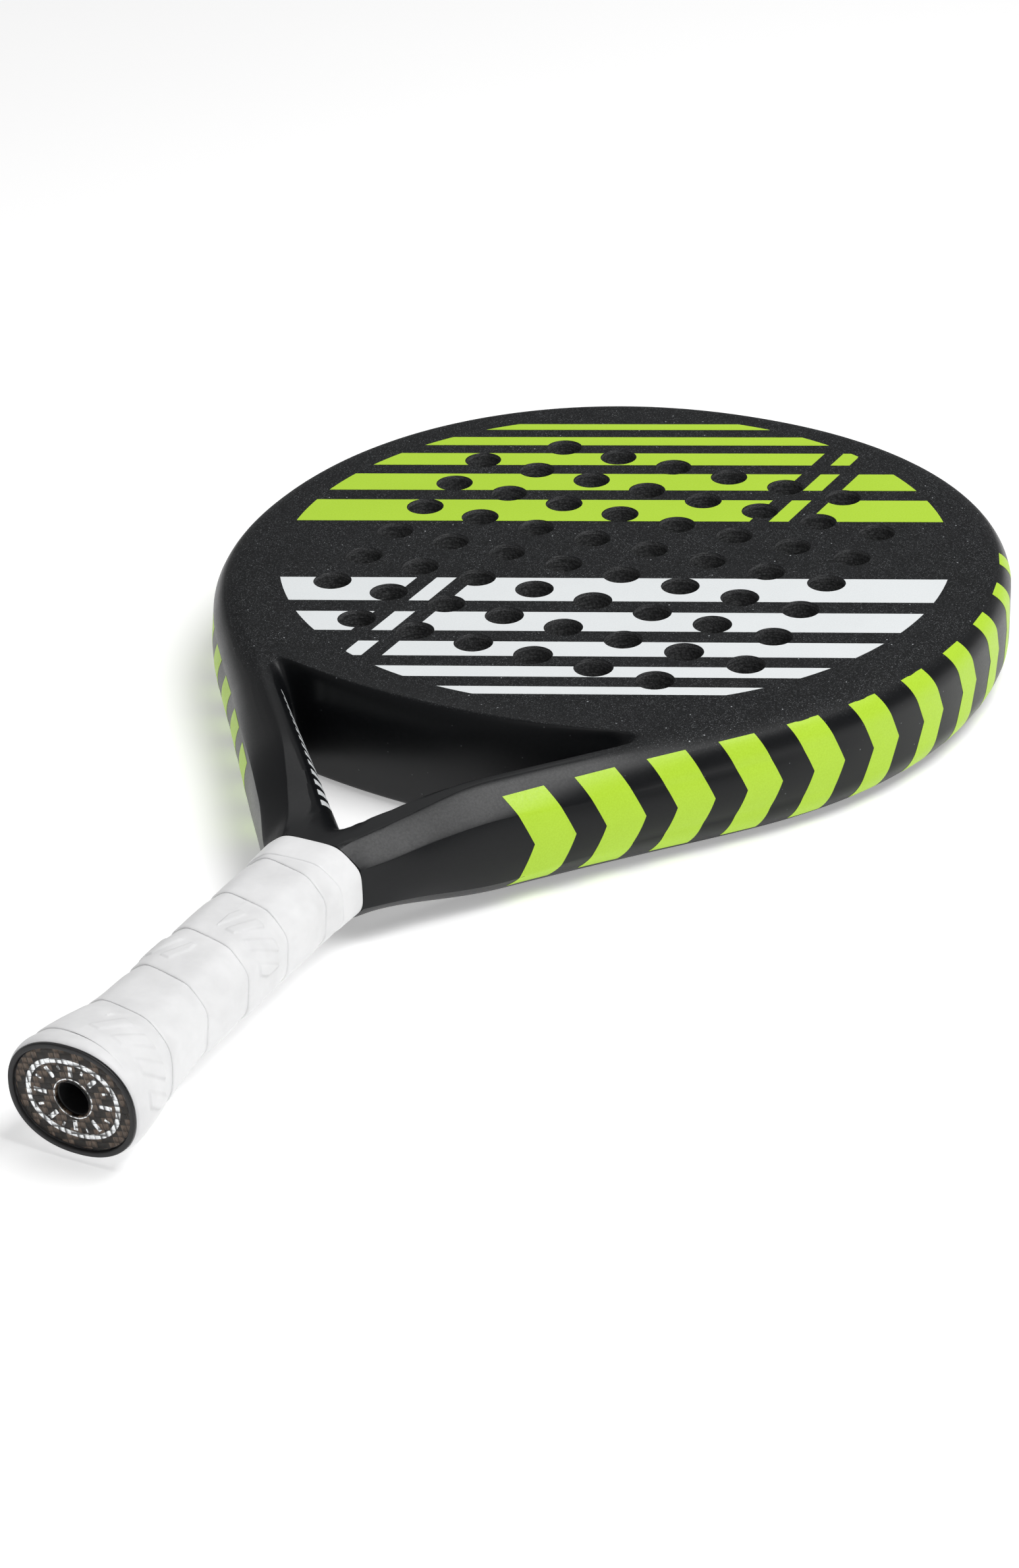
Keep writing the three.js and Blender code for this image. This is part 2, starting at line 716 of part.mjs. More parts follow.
function buttCap() {
  const rings = handleRings(grown(SHAFT, GAP + CAP_SLEEVE), CAP_TOP_Y, TAPE_END_Y, CAP_STEPS);
  rings.push(octagonRing(RIM_SHOULDER_Y, ...grown(RIM_HALF, -GAP), 1));
  rings.push(octagonRing(RIM_WIDEST_Y, ...RIM_HALF, 1));
  rings.push(octagonRing(BUTT_Y, ...grown(RIM_HALF, -RIM_EDGE), 1));
  const socketSize = grown(SHAFT, GAP);
  const socket = [CAP_TOP_Y + 5, STEM_END_Y - SOCKET_EASE].map((y) => octagonRing(y, ...socketSize));
  const knotRoom = [STEM_END_Y, CAP_FLOOR_Y + CAP_FLOOR_THICK].map((y) => octagonRing(y, ...KNOT_ROOM));
  const badgeRoom = [CAP_FLOOR_Y, BUTT_Y - 5].map((y) => ovalRing(y, ...grown(BADGE_HALF, GAP)));
  return ringSolid(rings)
    .subtract(ringSolid(socket))
    .subtract(ringSolid(knotRoom))
    .subtract(ringSolid(badgeRoom))
    .subtract(buttHole(BUSH_CLEAR))
    .subtract(tackSolid(1, GAP))
    .subtract(tackSolid(-1, GAP));
}

function cordBush() {
  const outer = [CAP_FLOOR_Y, CAP_FLOOR_Y + BUSH_LENGTH].map((y) => roundRing(y, BUSH_RADIUS));
  return ringSolid(outer).subtract(buttHole(CORD_RADIUS));
}

function badgeDisc() {
  return ringSolid(DISC_Y.map((y) => ovalRing(y, ...BADGE_HALF))).subtract(buttHole(BADGE_HOLE));
}

function badgeEmblem() {
  const inner = [EMBLEM_Y[0] + 5, EMBLEM_Y[1] - 5].map((y) => ovalRing(y, ...EMBLEM_INNER, EMBLEM_SIDES));
  return ringSolid(EMBLEM_Y.map((y) => ovalRing(y, ...EMBLEM_OUTER))).subtract(ringSolid(inner));
}

function badgeDome() {
  const rings = [
    ovalRing(DOME_BACK_Y, ...BADGE_HALF),
    ovalRing(DOME_EDGE_Y, ...BADGE_HALF),
    ovalRing(DOME_FRONT_Y, ...grown(BADGE_HALF, -DOME_ROUND)),
  ];
  return ringSolid(rings).subtract(buttHole(BADGE_HOLE));
}

// Open sleeve with the wrapped handle's section: the inside runs past both ends.
function sleeve(top, low, outerHalf, innerHalf) {
  const outer = [top, low].map((y) => octagonRing(y, ...outerHalf));
  const inner = [top + 1, low - 1].map((y) => octagonRing(y, ...innerHalf));
  return ringSolid(outer).subtract(ringSolid(inner));
}

function gripBase() {
  return sleeve(WRAP_TOP_Y, CAP_TOP_Y + GAP, BASE_WRAP, grown(SHAFT, GAP));
}

function finishingTape() {
  const top = COLLAR_Y - 0.1;
  return sleeve(top, COLLAR_Y - FINISH_LENGTH, FINISH_OUTER, grown(TAPE_OUTER, GAP));
}

// Radius lost where one turn of tape laps the next, and where the last turn rolls in to the rim.
function tapeLoss(y, ringShare) {
  const turns = (y - COLLAR_Y) / SEAM_PITCH + ringShare;
  const along = (turns - Math.floor(turns)) * SEAM_PITCH;
  const rolled = clamp01((TAPE_END_Y + TAPE_END_ROUND - y) / TAPE_END_ROUND);
  const seam = SEAM_DEPTH * Math.max(0, 1 - along / SEAM_WIDTH) * (1 - ease(2 * rolled));
  return seam + TAPE_END_LOSS * rolled * rolled;
}

function gripTape() {
  const outer = handleRings(TAPE_OUTER, WRAP_TOP_Y, TAPE_END_Y, TAPE_STEPS);
  const lapped = outer.map((ring) => ring.map(([x, y, z], k) => {
    const reach = Math.hypot(x, z - MID_Z);
    const scale = (reach - tapeLoss(y, k / ring.length)) / reach;
    return [x * scale, y, MID_Z + (z - MID_Z) * scale];
  }));
  const inner = handleRings(grown(BASE_WRAP, GAP), WRAP_TOP_Y + 1, TAPE_END_Y - 1, TAPE_INNER_STEPS);
  return ringSolid(lapped).subtract(ringSolid(inner));
}

// ---- finishes ----
const finish = (color, roughness, metalness = 0) => () => new THREE.MeshStandardMaterial({
  color, roughness, metalness,
});
const CARBON_PAINT = finish(0x1c1e21, 0.45);
const FACE_PAINT = finish(0x232529, 0.75);
const EVA = finish(0x3a3a3c, 0.95);
const FOAM = finish(0xd8d4c8, 0.95);
const PALLET_FOAM = finish(0xb9a98a, 0.9);
const CAP_RUBBER = finish(0x151618, 0.6);
const TWILL = finish(0x4a3f38, 0.35, 0.2);
const CLEAR = finish(0xe8eef2, 0.08);
const CHROME = finish(0xd4d8dc, 0.12, 1);
const STEEL = finish(0xb0b4b8, 0.3, 1);
const UNDERLAY = finish(0x2a2a2c, 0.85);
const WHITE_TAPE = finish(0xf2f2f0, 0.7);

const group = new THREE.Group();
group.name = 'padel_racket';

function addPiece(name, solid, material) {
  const mesh = new THREE.Mesh(toGeometry(solid), material());
  mesh.name = name;
  group.add(mesh);
}

addPiece('frame_tube', frameTube(), CARBON_PAINT);
addPiece('frame_foam', frameFoam(), FOAM);
addPiece('throat_bridge', throatBridge(), CARBON_PAINT);
addPiece('bridge_foam', bridgeFoam(), FOAM);
addPiece('throat_gusset', gusset(), CARBON_PAINT);
addPiece('core_foam', coreFoam(), EVA);
addPiece('face_sheet_front', faceSheet(DEPTH - SHEET_THICK), FACE_PAINT);
addPiece('face_sheet_rear', faceSheet(0), FACE_PAINT);
addPiece('handle_core', handleCore(), PALLET_FOAM);
addPiece('pallet_front', pallet(1), PALLET_FOAM);
addPiece('pallet_rear', pallet(-1), PALLET_FOAM);
addPiece('butt_cap', buttCap(), CAP_RUBBER);
addPiece('cap_tack_front', tackSolid(1, 0), STEEL);
addPiece('cap_tack_rear', tackSolid(-1, 0), STEEL);
addPiece('cord_bush', cordBush(), CAP_RUBBER);
addPiece('badge_disc', badgeDisc(), TWILL);
addPiece('badge_emblem', badgeEmblem(), CHROME);
addPiece('badge_dome', badgeDome(), CLEAR);
addPiece('grip_base', gripBase(), UNDERLAY);
addPiece('grip_tape', gripTape(), WHITE_TAPE);
addPiece('finishing_tape', finishingTape(), WHITE_TAPE);

export default group;
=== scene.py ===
"""Looks of the padel racket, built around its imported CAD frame.

Every size below is in millimetres in the part's own frame: X across the head,
Y from butt to tip, Z from the rear face to the front face. Meshes are turned
into metres when they are made.
"""
import math

import bmesh
import bpy
import numpy as np
from mathutils import Matrix, Vector
from mathutils.geometry import delaunay_2d_cdt


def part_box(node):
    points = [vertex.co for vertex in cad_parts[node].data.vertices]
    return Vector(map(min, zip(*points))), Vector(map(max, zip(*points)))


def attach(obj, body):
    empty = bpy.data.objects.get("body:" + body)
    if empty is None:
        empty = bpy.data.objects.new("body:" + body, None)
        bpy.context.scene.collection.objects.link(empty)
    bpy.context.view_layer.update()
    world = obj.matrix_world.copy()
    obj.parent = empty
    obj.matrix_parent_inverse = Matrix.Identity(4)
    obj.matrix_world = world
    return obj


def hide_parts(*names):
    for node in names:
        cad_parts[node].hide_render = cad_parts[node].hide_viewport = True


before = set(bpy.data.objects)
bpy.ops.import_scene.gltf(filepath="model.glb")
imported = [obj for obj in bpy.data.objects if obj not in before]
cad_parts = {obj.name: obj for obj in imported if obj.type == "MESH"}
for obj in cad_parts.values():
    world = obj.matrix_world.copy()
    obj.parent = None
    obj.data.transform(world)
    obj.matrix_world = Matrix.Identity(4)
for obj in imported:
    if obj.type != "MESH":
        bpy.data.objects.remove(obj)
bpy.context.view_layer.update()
PER_METRE = 1000
CHUNK = 1000
QUARTER = math.pi / 2
FULL = 2 * math.pi


def node_box(name):
    """Lowest and highest corner of a CAD node, in millimetres."""
    low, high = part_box(name)
    return low * PER_METRE, high * PER_METRE


# ---- anchors read from the frame ----
tube_high = node_box("frame_tube")[1]
tape_low, tape_high = node_box("grip_tape")
finish_low, finish_high = node_box("finishing_tape")
cap_low, cap_high = node_box("butt_cap")
disc_high = node_box("badge_disc")[1]
dome_low = node_box("badge_dome")[0]
emblem_high = node_box("badge_emblem")[1]
bush_low, bush_high = node_box("cord_bush")
base_low, base_high = node_box("grip_base")
sheet_low, sheet_high = node_box("face_sheet_front")

TIP_Y = tube_high.y
HALF_WIDTH = tube_high.x
DEPTH = tube_high.z
MID_Z = DEPTH / 2
COLLAR_Y = finish_high.y + 0.1
SHEET_THICK = sheet_high.z - sheet_low.z

# ---- moulding, as in the CAD source ----
HEAD_HALF_HEIGHT = 129.7
HEAD_CENTRE_Y = TIP_Y - HEAD_HALF_HEIGHT
HEAD_POWER = 2.1
HEAD_START_ANGLE = -0.3
COLLAR_HALF = (16.2, 12.7)
ARM_END = np.array([74.5, -25.0])
ARM_HANDLE = 32
HEAD_HANDLE = 39
BEVEL_DEPTH = (6.2, 12)
BEVEL_DROP = (6.2, 11)
BEVEL_POWER = (1.1, 2)
BEVEL_TURN_Y = -70
TAPER_LENGTH = 40
ARM_SIDE_BOW = 1.5
BOW_END_Y = 50
THROAT_MID = dict(corner=(60, -14), bridge=-25, bow=0.0031, apex=-80.6, corner_cut=12, apex_cut=7)
THROAT_FACE = dict(corner=(71.4, -9.3), bridge=-20.5, bow=0.0022, apex=-98.5, corner_cut=16, apex_cut=7)
THROAT_POWER = (1.9, 1.6)
RIDGE_SOFT = 2.2
RISE_BEYOND = 0.3
SHEET_INSET = 13.5
SHEET_SETBACK = 3
CORE_INSET = 19.3
CORE_SETBACK = 14.3

# ---- drilled holes ----
HOLE_PITCH = 21.04
HOLE_RADIUS = 6
HOLE_COUNT = 8
HOLE_FIRST_Y = 20.2
HOLE_SIDES = 48
LIP = 0.16


# ---- small maths ----
def ease(value):
    share = np.clip(value, 0, 1)
    return share * share * (3 - 2 * share)


def between(value, low, high, edge):
    """1 between low and high, easing to 0 at both over edge."""
    return ease((value - low) / edge) * ease((high - value) / edge)


def mix(low, high, share):
    return low + (high - low) * share


def whole_turn(sides):
    return np.arange(sides) / sides * FULL


def super_point(angle, half_x, half_y, power):
    cos, sin = np.cos(angle), np.sin(angle)
    x = half_x * np.sign(cos) * np.abs(cos) ** (2 / power)
    y = half_y * np.sign(sin) * np.abs(sin) ** (2 / power)
    return pair(x, y)


def pair(x, y):
    return np.stack([x, y], -1)


def lift(plan, z):
    """Plan points with their heights."""
    return np.concatenate([plan, np.broadcast_to(z, plan.shape[:-1])[..., None]], -1)


def norm(vector):
    return np.linalg.norm(vector, axis=-1)


def quadratic(a, b, c, t):
    return (1 - t) ** 2 * a + 2 * (1 - t) * t * b + t * t * c


def unit(vector):
    return vector / np.linalg.norm(vector, axis=-1, keepdims=True)


def running_length(points):
    steps = norm(np.diff(points, axis=0))
    return np.concatenate([[0], np.cumsum(steps)])


# ---- head outline, right half, from below the collar to the tip ----
def outline_curve():
    start = np.array([COLLAR_HALF[0], COLLAR_Y])
    along = unit(ARM_END - start)
    head = super_point(np.linspace(HEAD_START_ANGLE, QUARTER, 3001), HALF_WIDTH, HEAD_HALF_HEIGHT, HEAD_POWER)
    head[:, 1] += HEAD_CENTRE_Y
    head[-1] = (0, TIP_Y)
    rising = unit(head[1] - head[0])
    a, b = ARM_END, ARM_END + along * ARM_HANDLE
    c, d = head[0] - rising * HEAD_HANDLE, head[0]
    t = np.linspace(0, 1, 700)[1:-1, None]
    bend = (1 - t) ** 3 * a + 3 * (1 - t) ** 2 * t * b + 3 * (1 - t) * t * t * c + t ** 3 * d
    below = start - along * np.linspace(20, 0, 200, endpoint=False)[:, None]
    arm = mix(start, ARM_END, np.linspace(0, 1, 900)[:, None])
    points = np.concatenate([below, arm, bend, head])
    tangent = unit(np.gradient(points, axis=0))
    normal = pair(tangent[:, 1], -tangent[:, 0])
    normal[-1] = (0, 1)
    length = running_length(points)
    return points, normal, length - length[len(below)]


OUTLINE, OUTLINE_NORMAL, OUTLINE_LENGTH = outline_curve()
HALF_LENGTH = OUTLINE_LENGTH[-1]


def on_outline(length):
    point = [np.interp(length, OUTLINE_LENGTH, OUTLINE[:, k]) for k in (0, 1)]
    normal = [np.interp(length, OUTLINE_LENGTH, OUTLINE_NORMAL[:, k]) for k in (0, 1)]
    return np.stack(point, -1), unit(np.stack(normal, -1))


def top_z(y):
    return mix(MID_Z + COLLAR_HALF[1], DEPTH, ease((y - COLLAR_Y) / TAPER_LENGTH))


def bevel_at(y):
    taper = (y - COLLAR_Y) / TAPER_LENGTH
    depth = mix(*BEVEL_DEPTH, np.sqrt(np.clip(taper, 0, 1)))
    drop = mix(*BEVEL_DROP, ease(taper / 2))
    power = mix(*BEVEL_POWER, ease((y - BEVEL_TURN_Y) / 90))
    bow = ARM_SIDE_BOW * ease((y - COLLAR_Y) / 20) * ease((BOW_END_Y - y) / 60)
    return depth, drop, power, bow


# ---- throat curves: matching points at mid depth and at the face, counted in steps from the axis ----
def throat_half(corner, bridge, bow, apex, corner_cut, apex_cut, steps):
    corner, foot = np.array(corner, float), np.array([0, apex], float)
    down = unit(foot - corner)
    edge_x = corner[0] - corner_cut
    before = np.array([edge_x, bridge + bow * edge_x ** 2])
    after = corner + down * corner_cut
    low = foot - down * apex_cut
    x = np.linspace(0, edge_x, 6 * steps, endpoint=False)
    edge = pair(x, bridge + bow * x * x)
    t = np.linspace(0, 1, 5 * steps, endpoint=False)[:, None]
    turn = quadratic(before, corner, after, t)
    arm = mix(after, low, np.linspace(0, 1, 6 * steps, endpoint=False)[:, None])
    t = np.linspace(0, 0.5, 3 * steps + 1)[:, None]
    tip = quadratic(low, foot, low * (-1, 1), t)
    return np.concatenate([edge, turn, arm, tip])


THROAT_STEPS = 24
EDGE_END, CORNER_MIDDLE, TURN_END = 6, 8.5, 11
ARM_FIRST_STEP, ARM_LAST_STEP = 10.5, 17
MID_HALF = throat_half(**THROAT_MID, steps=THROAT_STEPS)
FACE_HALF = throat_half(**THROAT_FACE, steps=THROAT_STEPS)
WALL_POWER_HALF = mix(*THROAT_POWER, ease(
    (np.arange(len(MID_HALF)) / THROAT_STEPS - EDGE_END) / (TURN_END - EDGE_END)))


def whole_loop(half, flip):
    """A right half and its left half as one loop. flip mirrors X, which heights and powers do not need."""
    left = half[1:-1][::-1].copy()
    if flip:
        left[:, 0] *= -1
    return np.concatenate([half, left])


MID_LOOP = whole_loop(MID_HALF, True)
FACE_LOOP = whole_loop(FACE_HALF, True)
WALL_POWER = whole_loop(WALL_POWER_HALF[:, None], False)[:, 0]


def cross2(a, b):
    return a[..., 0] * b[..., 1] - a[..., 1] * b[..., 0]


OPEN_HEIGHT = DEPTH * 2


def throat_height(points):
    """Height of the throat wall above each plan point, rising past the top outside it."""
    following = np.roll(np.arange(len(MID_LOOP)), -1)
    out = np.full(len(points), OPEN_HEIGHT)
    ruling = FACE_LOOP - MID_LOOP
    for low in range(0, len(points), CHUNK):
        part = points[low:low + CHUNK, None]
        side = cross2(ruling, part - MID_LOOP)
        change = side - side[:, following]
        share = np.where(np.abs(change) > 1e-9, side / np.where(change == 0, 1, change), 0.5)
        along = share[..., None]
        mid = mix(MID_LOOP, MID_LOOP[following], along)
        across = mix(FACE_LOOP, FACE_LOOP[following], along) - mid
        away = part - mid
        opened = (away * across).sum(-1) / (across ** 2).sum(-1)
        found = (side * side[:, following] <= 0) & (opened > -0.02)
        reach = np.where(found, norm(away), np.inf)
        best = reach.argmin(1)
        rows = np.arange(len(best))
        opened = np.clip(opened[rows, best], 0, None)
        across = across[rows, best]
        power = WALL_POWER[best]
        cos = (1 - np.clip(opened, 0, 1)) ** (power / 2)
        rise = (1 - cos ** 2) ** (1 / power)
        top = top_z((mid[rows, best] + across)[:, 1])
        width = norm(across)
        height = mix(MID_Z, top, rise) + RISE_BEYOND * np.clip(opened - 1, 0, None) * width
        out[low:low + CHUNK] = np.where(np.isfinite(reach.min(1)), height, OPEN_HEIGHT)
    return out


def outer_height(points):
    """Height of the rim's bevel above each plan point, and the height of its flat top."""
    out, flat = np.empty(len(points)), np.empty(len(points))
    for low in range(0, len(points), CHUNK):
        part = points[low:low + CHUNK]
        near = ((part[:, None] - OUTLINE) ** 2).sum(-1).argmin(1)
        inward = ((OUTLINE[near] - part) * OUTLINE_NORMAL[near]).sum(-1)
        y = OUTLINE[near, 1]
        depth, drop, power, bow = bevel_at(y)
        share = np.clip((depth - inward) / (depth - bow), 0, 1)
        sin = np.sqrt(1 - share ** power)
        top = top_z(y)
        z = top - drop * (1 - sin ** (2 / power)) + RISE_BEYOND * np.clip(inward - depth, 0, None)
        out[low:low + CHUNK] = z
        flat[low:low + CHUNK] = top
    return out, flat


def surface_height(points):
    outer, flat = outer_height(points)
    throat = throat_height(points)
    soft = np.clip(RIDGE_SOFT - np.abs(outer - throat), 0, None) / RIDGE_SOFT
    blended = np.minimum(outer, throat) - soft * soft * RIDGE_SOFT / 4
    return np.minimum(blended, flat)


# ---- meshes ----
def add_object(name, data):
    made = bpy.data.objects.new(name, data)
    bpy.context.scene.collection.objects.link(made)
    return made


def new_piece(name, points, faces, materials, sharp=35, face_material=None, weld=False):
    """Object in the part's frame from points in millimetres."""
    mesh = bpy.data.meshes.new(name)
    mesh.from_pydata((np.asarray(points, float) / PER_METRE).tolist(), [], [list(f) for f in faces])
    for material in materials:
        mesh.materials.append(material)
    if face_material is not None:
        mesh.polygons.foreach_set("material_index", np.asarray(face_material, np.int32))
    bm = bmesh.new()
    bm.from_mesh(mesh)
    if weld:
        bmesh.ops.remove_doubles(bm, verts=bm.verts, dist=2e-6)
        bmesh.ops.dissolve_degenerate(bm, edges=bm.edges, dist=1e-7)
        open_edges = [e for e in bm.edges if e.is_boundary]
        if open_edges:
            bmesh.ops.holes_fill(bm, edges=open_edges, sides=0)
    bmesh.ops.recalc_face_normals(bm, faces=bm.faces)
    bm.to_mesh(mesh)
    bm.free()
    mesh.polygons.foreach_set("use_smooth", [True] * len(mesh.polygons))
    mesh.set_sharp_from_angle(angle=math.radians(sharp))
    return add_object(name, mesh)


def place(piece, slot, *nodes):
    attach(piece, "root")
    if nodes:
        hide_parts(*nodes)
    return piece


def even_normals(piece):
    modifier = piece.modifiers.new("even_normals", "WEIGHTED_NORMAL")
    modifier.keep_sharp = True
    modifier.weight = 80
    return piece


def grid_quads(rows, columns, wrap=False):
    across = columns if wrap else columns - 1
    i, j = np.meshgrid(np.arange(rows - 1), np.arange(across), indexing="ij")
    after = (j + 1) % columns
    a, b = i * columns + j, i * columns + after
    c, d = (i + 1) * columns + after, (i + 1) * columns + j
    return np.stack([a, b, c, d], -1).reshape(-1, 4).tolist()


def joined(parts):
    """Several (points, faces) as one."""
    points, faces, start = [], [], 0
    for own_points, own_faces in parts:
        points.append(own_points)
        faces += [[i + start for i in face] for face in own_faces]
        start += len(own_points)
    return np.concatenate(points), faces


def ring_solid(rings, closed):
    """Points and faces of a loft through rings of points: its last joined to its first, or both capped."""
    rings = np.asarray(rings, float)
    count, sides = rings.shape[:2]
    points = rings.reshape(-1, 3)
    faces = grid_quads(count, sides, wrap=True)
    if closed:
        for k in range(sides):
            following = (k + 1) % sides
            last = (count - 1) * sides
            faces.append([last + k, last + following, following, k])
    else:
        faces.append(list(range(sides)))
        faces.append(list(range((count - 1) * sides, count * sides)))
    return points, faces


def ring_piece(name, rings, material, sharp):
    points, faces = ring_solid(rings, closed=True)
    return new_piece(name, points, faces, [material], sharp)


def triangulate(loops, loose=()):
    """Plan triangles through loops and loose points that keep every loop as edges: (points, triangles)."""
    edges, at = [], 0
    for loop in loops:
        edges += [(at + k, at + (k + 1) % len(loop)) for k in range(len(loop))]
        at += len(loop)
    points = np.concatenate([*loops, *loose])
    result = delaunay_2d_cdt([Vector(p) for p in points], edges, [], 0, 1e-7, False)
    return np.array([tuple(v) for v in result[0]]), np.array(result[2])


def open_edges(triangles):
    """The edges that only one triangle uses."""
    used = {}
    for a, b, c in triangles:
        used.update(dict.fromkeys(((a, b), (b, c), (c, a))))
    return [edge for edge in used if edge[::-1] not in used]


def two_sides(triangles, count):
    """The triangles, and their turned copies on points that start at count."""
    return [list(t) for t in triangles] + [[c + count, b + count, a + count] for a, b, c in triangles]


def plate_faces(triangles, count):
    """Faces of a closed plate whose lower copy of the points starts at count."""
    walls = [[b, a, a + count, b + count] for a, b in open_edges(triangles)]
    return two_sides(triangles, count) + walls


def keep_inside(points, triangles, inside):
    """The triangles whose middles pass the test, with unused points dropped."""
    middles = points[triangles].mean(1)
    kept = triangles[inside(middles)]
    used, renumbered = np.unique(kept, return_inverse=True)
    return points[used], renumbered.reshape(-1, 3)


# ---- holes ----
def hole_centres():
    centres = []
    for row in range(HOLE_COUNT):
        skipped = 1 if row in (0, HOLE_COUNT - 1) else 0
        for column in range(skipped, HOLE_COUNT - skipped):
            x = (column - (HOLE_COUNT - 1) / 2) * HOLE_PITCH
            centres.append((x, HOLE_FIRST_Y + row * HOLE_PITCH))
    return np.array(centres)


HOLES = hole_centres()


def hole_loops(radius, sides=HOLE_SIDES):
    angle = whole_turn(sides)
    ring = radius * pair(np.cos(angle), np.sin(angle))
    return [centre + ring for centre in HOLES]


def in_a_hole(points, radius):
    away = norm(points[:, None] - HOLES)
    return away.min(1) < radius


def in_loop(points, loop):
    """Which plan points lie inside a closed loop."""
    after = np.roll(loop, -1, 0)
    inside = np.zeros(len(points), bool)
    for a, b in zip(loop, after):
        spans = (a[1] > points[:, 1]) != (b[1] > points[:, 1])
        if spans.any():
            at = a[0] + (points[:, 1] - a[1]) / (b[1] - a[1] + 1e-15) * (b[0] - a[0])
            inside ^= spans & (points[:, 0] < at)
    return inside


# ---- shell: rim, arms, throat and bridge as one closed moulding ----
SIDE_ROWS = 6
BEVEL_ROWS = 17
WALL_ROWS = 17
FLAT_ROWS = 5
ARM_STATIONS = 66
FORK_STATIONS = 12
FORK_TO_JUNCTION = 60
HEAD_STATIONS = 121
FORK_SPAN = 14
JUNCTION_SPAN = 26
POWER_CHANGE = (72, 96)
HEAD_WALL = 1.3
SMOOTHINGS = 8


def bowed(x, base):
    return base + THROAT_FACE["bow"] * x * x


def wall_steps(width, length, power):
    """Distances from mid depth out over the throat wall, then on over the flat."""
    angle = np.linspace(0, QUARTER, WALL_ROWS)
    wall = width[:, None] * (1 - np.cos(angle) ** (2 / power[:, None]))
    flat = mix(width, length, np.linspace(0, 1, FLAT_ROWS + 1)[1:, None]).T
    return np.concatenate([wall, flat], 1)


def shell_plan():
    """Stations of the right front quarter: outline points, their normals, and the inner boundary."""
    sheet_line = THROAT_FACE["bridge"] + SHEET_SETBACK
    inner = OUTLINE - OUTLINE_NORMAL * SHEET_INSET
    above = np.nonzero((inner[:, 1] > bowed(inner[:, 0], sheet_line)) & (OUTLINE[:, 1] > -60))[0]
    corner_length = OUTLINE_LENGTH[above[0]]
    corner_at = int(CORNER_MIDDLE * THROAT_STEPS)
    apex_at = len(MID_HALF) - 1

    bridge_at = np.unique(np.concatenate([
        np.linspace(0, EDGE_END * THROAT_STEPS, 33), np.linspace(EDGE_END * THROAT_STEPS, corner_at, 13),
    ]).astype(int))
    mid_edge = MID_HALF[bridge_at]
    outline_corner, normal_corner = on_outline(corner_length)
    sheet_corner = outline_corner - normal_corner * SHEET_INSET
    sheet_x = mid_edge[:, 0] / mid_edge[-1, 0] * sheet_corner[0]
    sheet_edge = pair(sheet_x, bowed(sheet_x, sheet_line))
    sheet_edge[-1] = sheet_corner
    width = norm(FACE_HALF[bridge_at] - mid_edge)
    length = norm(sheet_edge - mid_edge)
    steps = wall_steps(width, length, WALL_POWER_HALF[bridge_at])
    ahead = unit(sheet_edge - mid_edge)
    bridge = mid_edge[:, None] + ahead[:, None] * steps[..., None]
    bridge[:, -1] = sheet_edge
    junction = bridge[-1]

    arm_at = np.unique(np.linspace(apex_at, corner_at, FORK_TO_JUNCTION + 1).astype(int))[::-1]
    arm_inner = MID_HALF[arm_at]
    axis_y = np.linspace(COLLAR_Y, THROAT_MID["apex"] + 3.5, FORK_STATIONS)
    axis_y[-1] = MID_HALF[-1, 1]
    axis_inner = pair(np.zeros(FORK_STATIONS), axis_y)
    head_length = np.linspace(corner_length, HALF_LENGTH, HEAD_STATIONS)
    junction_length = corner_length - JUNCTION_SPAN
    lengths = (
        np.linspace(0, FORK_SPAN, FORK_STATIONS), np.linspace(FORK_SPAN, junction_length, len(arm_inner)),
        np.linspace(junction_length, corner_length, len(junction)), head_length,
    )
    head_point, head_normal = on_outline(head_length)
    head_inner = head_point - head_normal * SHEET_INSET
    head_inner[0] = sheet_corner
    head_inner[-1, 0] = 0
    inner = np.concatenate([axis_inner, arm_inner[1:], junction[1:], head_inner[1:]])
    station = np.concatenate([lengths[0], *(part[1:] for part in lengths[1:])])
    arm_width = norm(FACE_HALF[arm_at] - arm_inner)
    wall_width = np.concatenate([
        np.full(FORK_STATIONS, arm_width[0]), arm_width[1:],
        np.linspace(arm_width[-1], HEAD_WALL, len(junction))[1:], np.full(len(head_inner) - 1, HEAD_WALL),
    ])
    return station, inner, wall_width, bridge, sheet_edge, head_inner, head_length


def rim_rows(y):
    """Inward distance and height of each row of the side and bevel, for outline points at y."""
    depth, drop, power, bow = (np.broadcast_to(v, y.shape)[:, None] for v in bevel_at(y))
    top = top_z(y)[:, None]
    side = np.linspace(0, 1, SIDE_ROWS, endpoint=False)
    angle = np.linspace(0, QUARTER, BEVEL_ROWS)
    bevel_in = mix(depth, bow, np.cos(angle) ** (2 / power))
    bevel_z = top - drop * (1 - np.sin(angle) ** (2 / power))
    inward = np.concatenate([bow * side ** 2, bevel_in], 1)
    height = np.concatenate([mix(MID_Z, top - drop, side), bevel_z], 1)
    return inward, height


def smoothed(rows):
    """Each inner row eased towards its two neighbours."""
    return (rows[:-2] + 2 * rows[1:-1] + rows[2:]) / 4


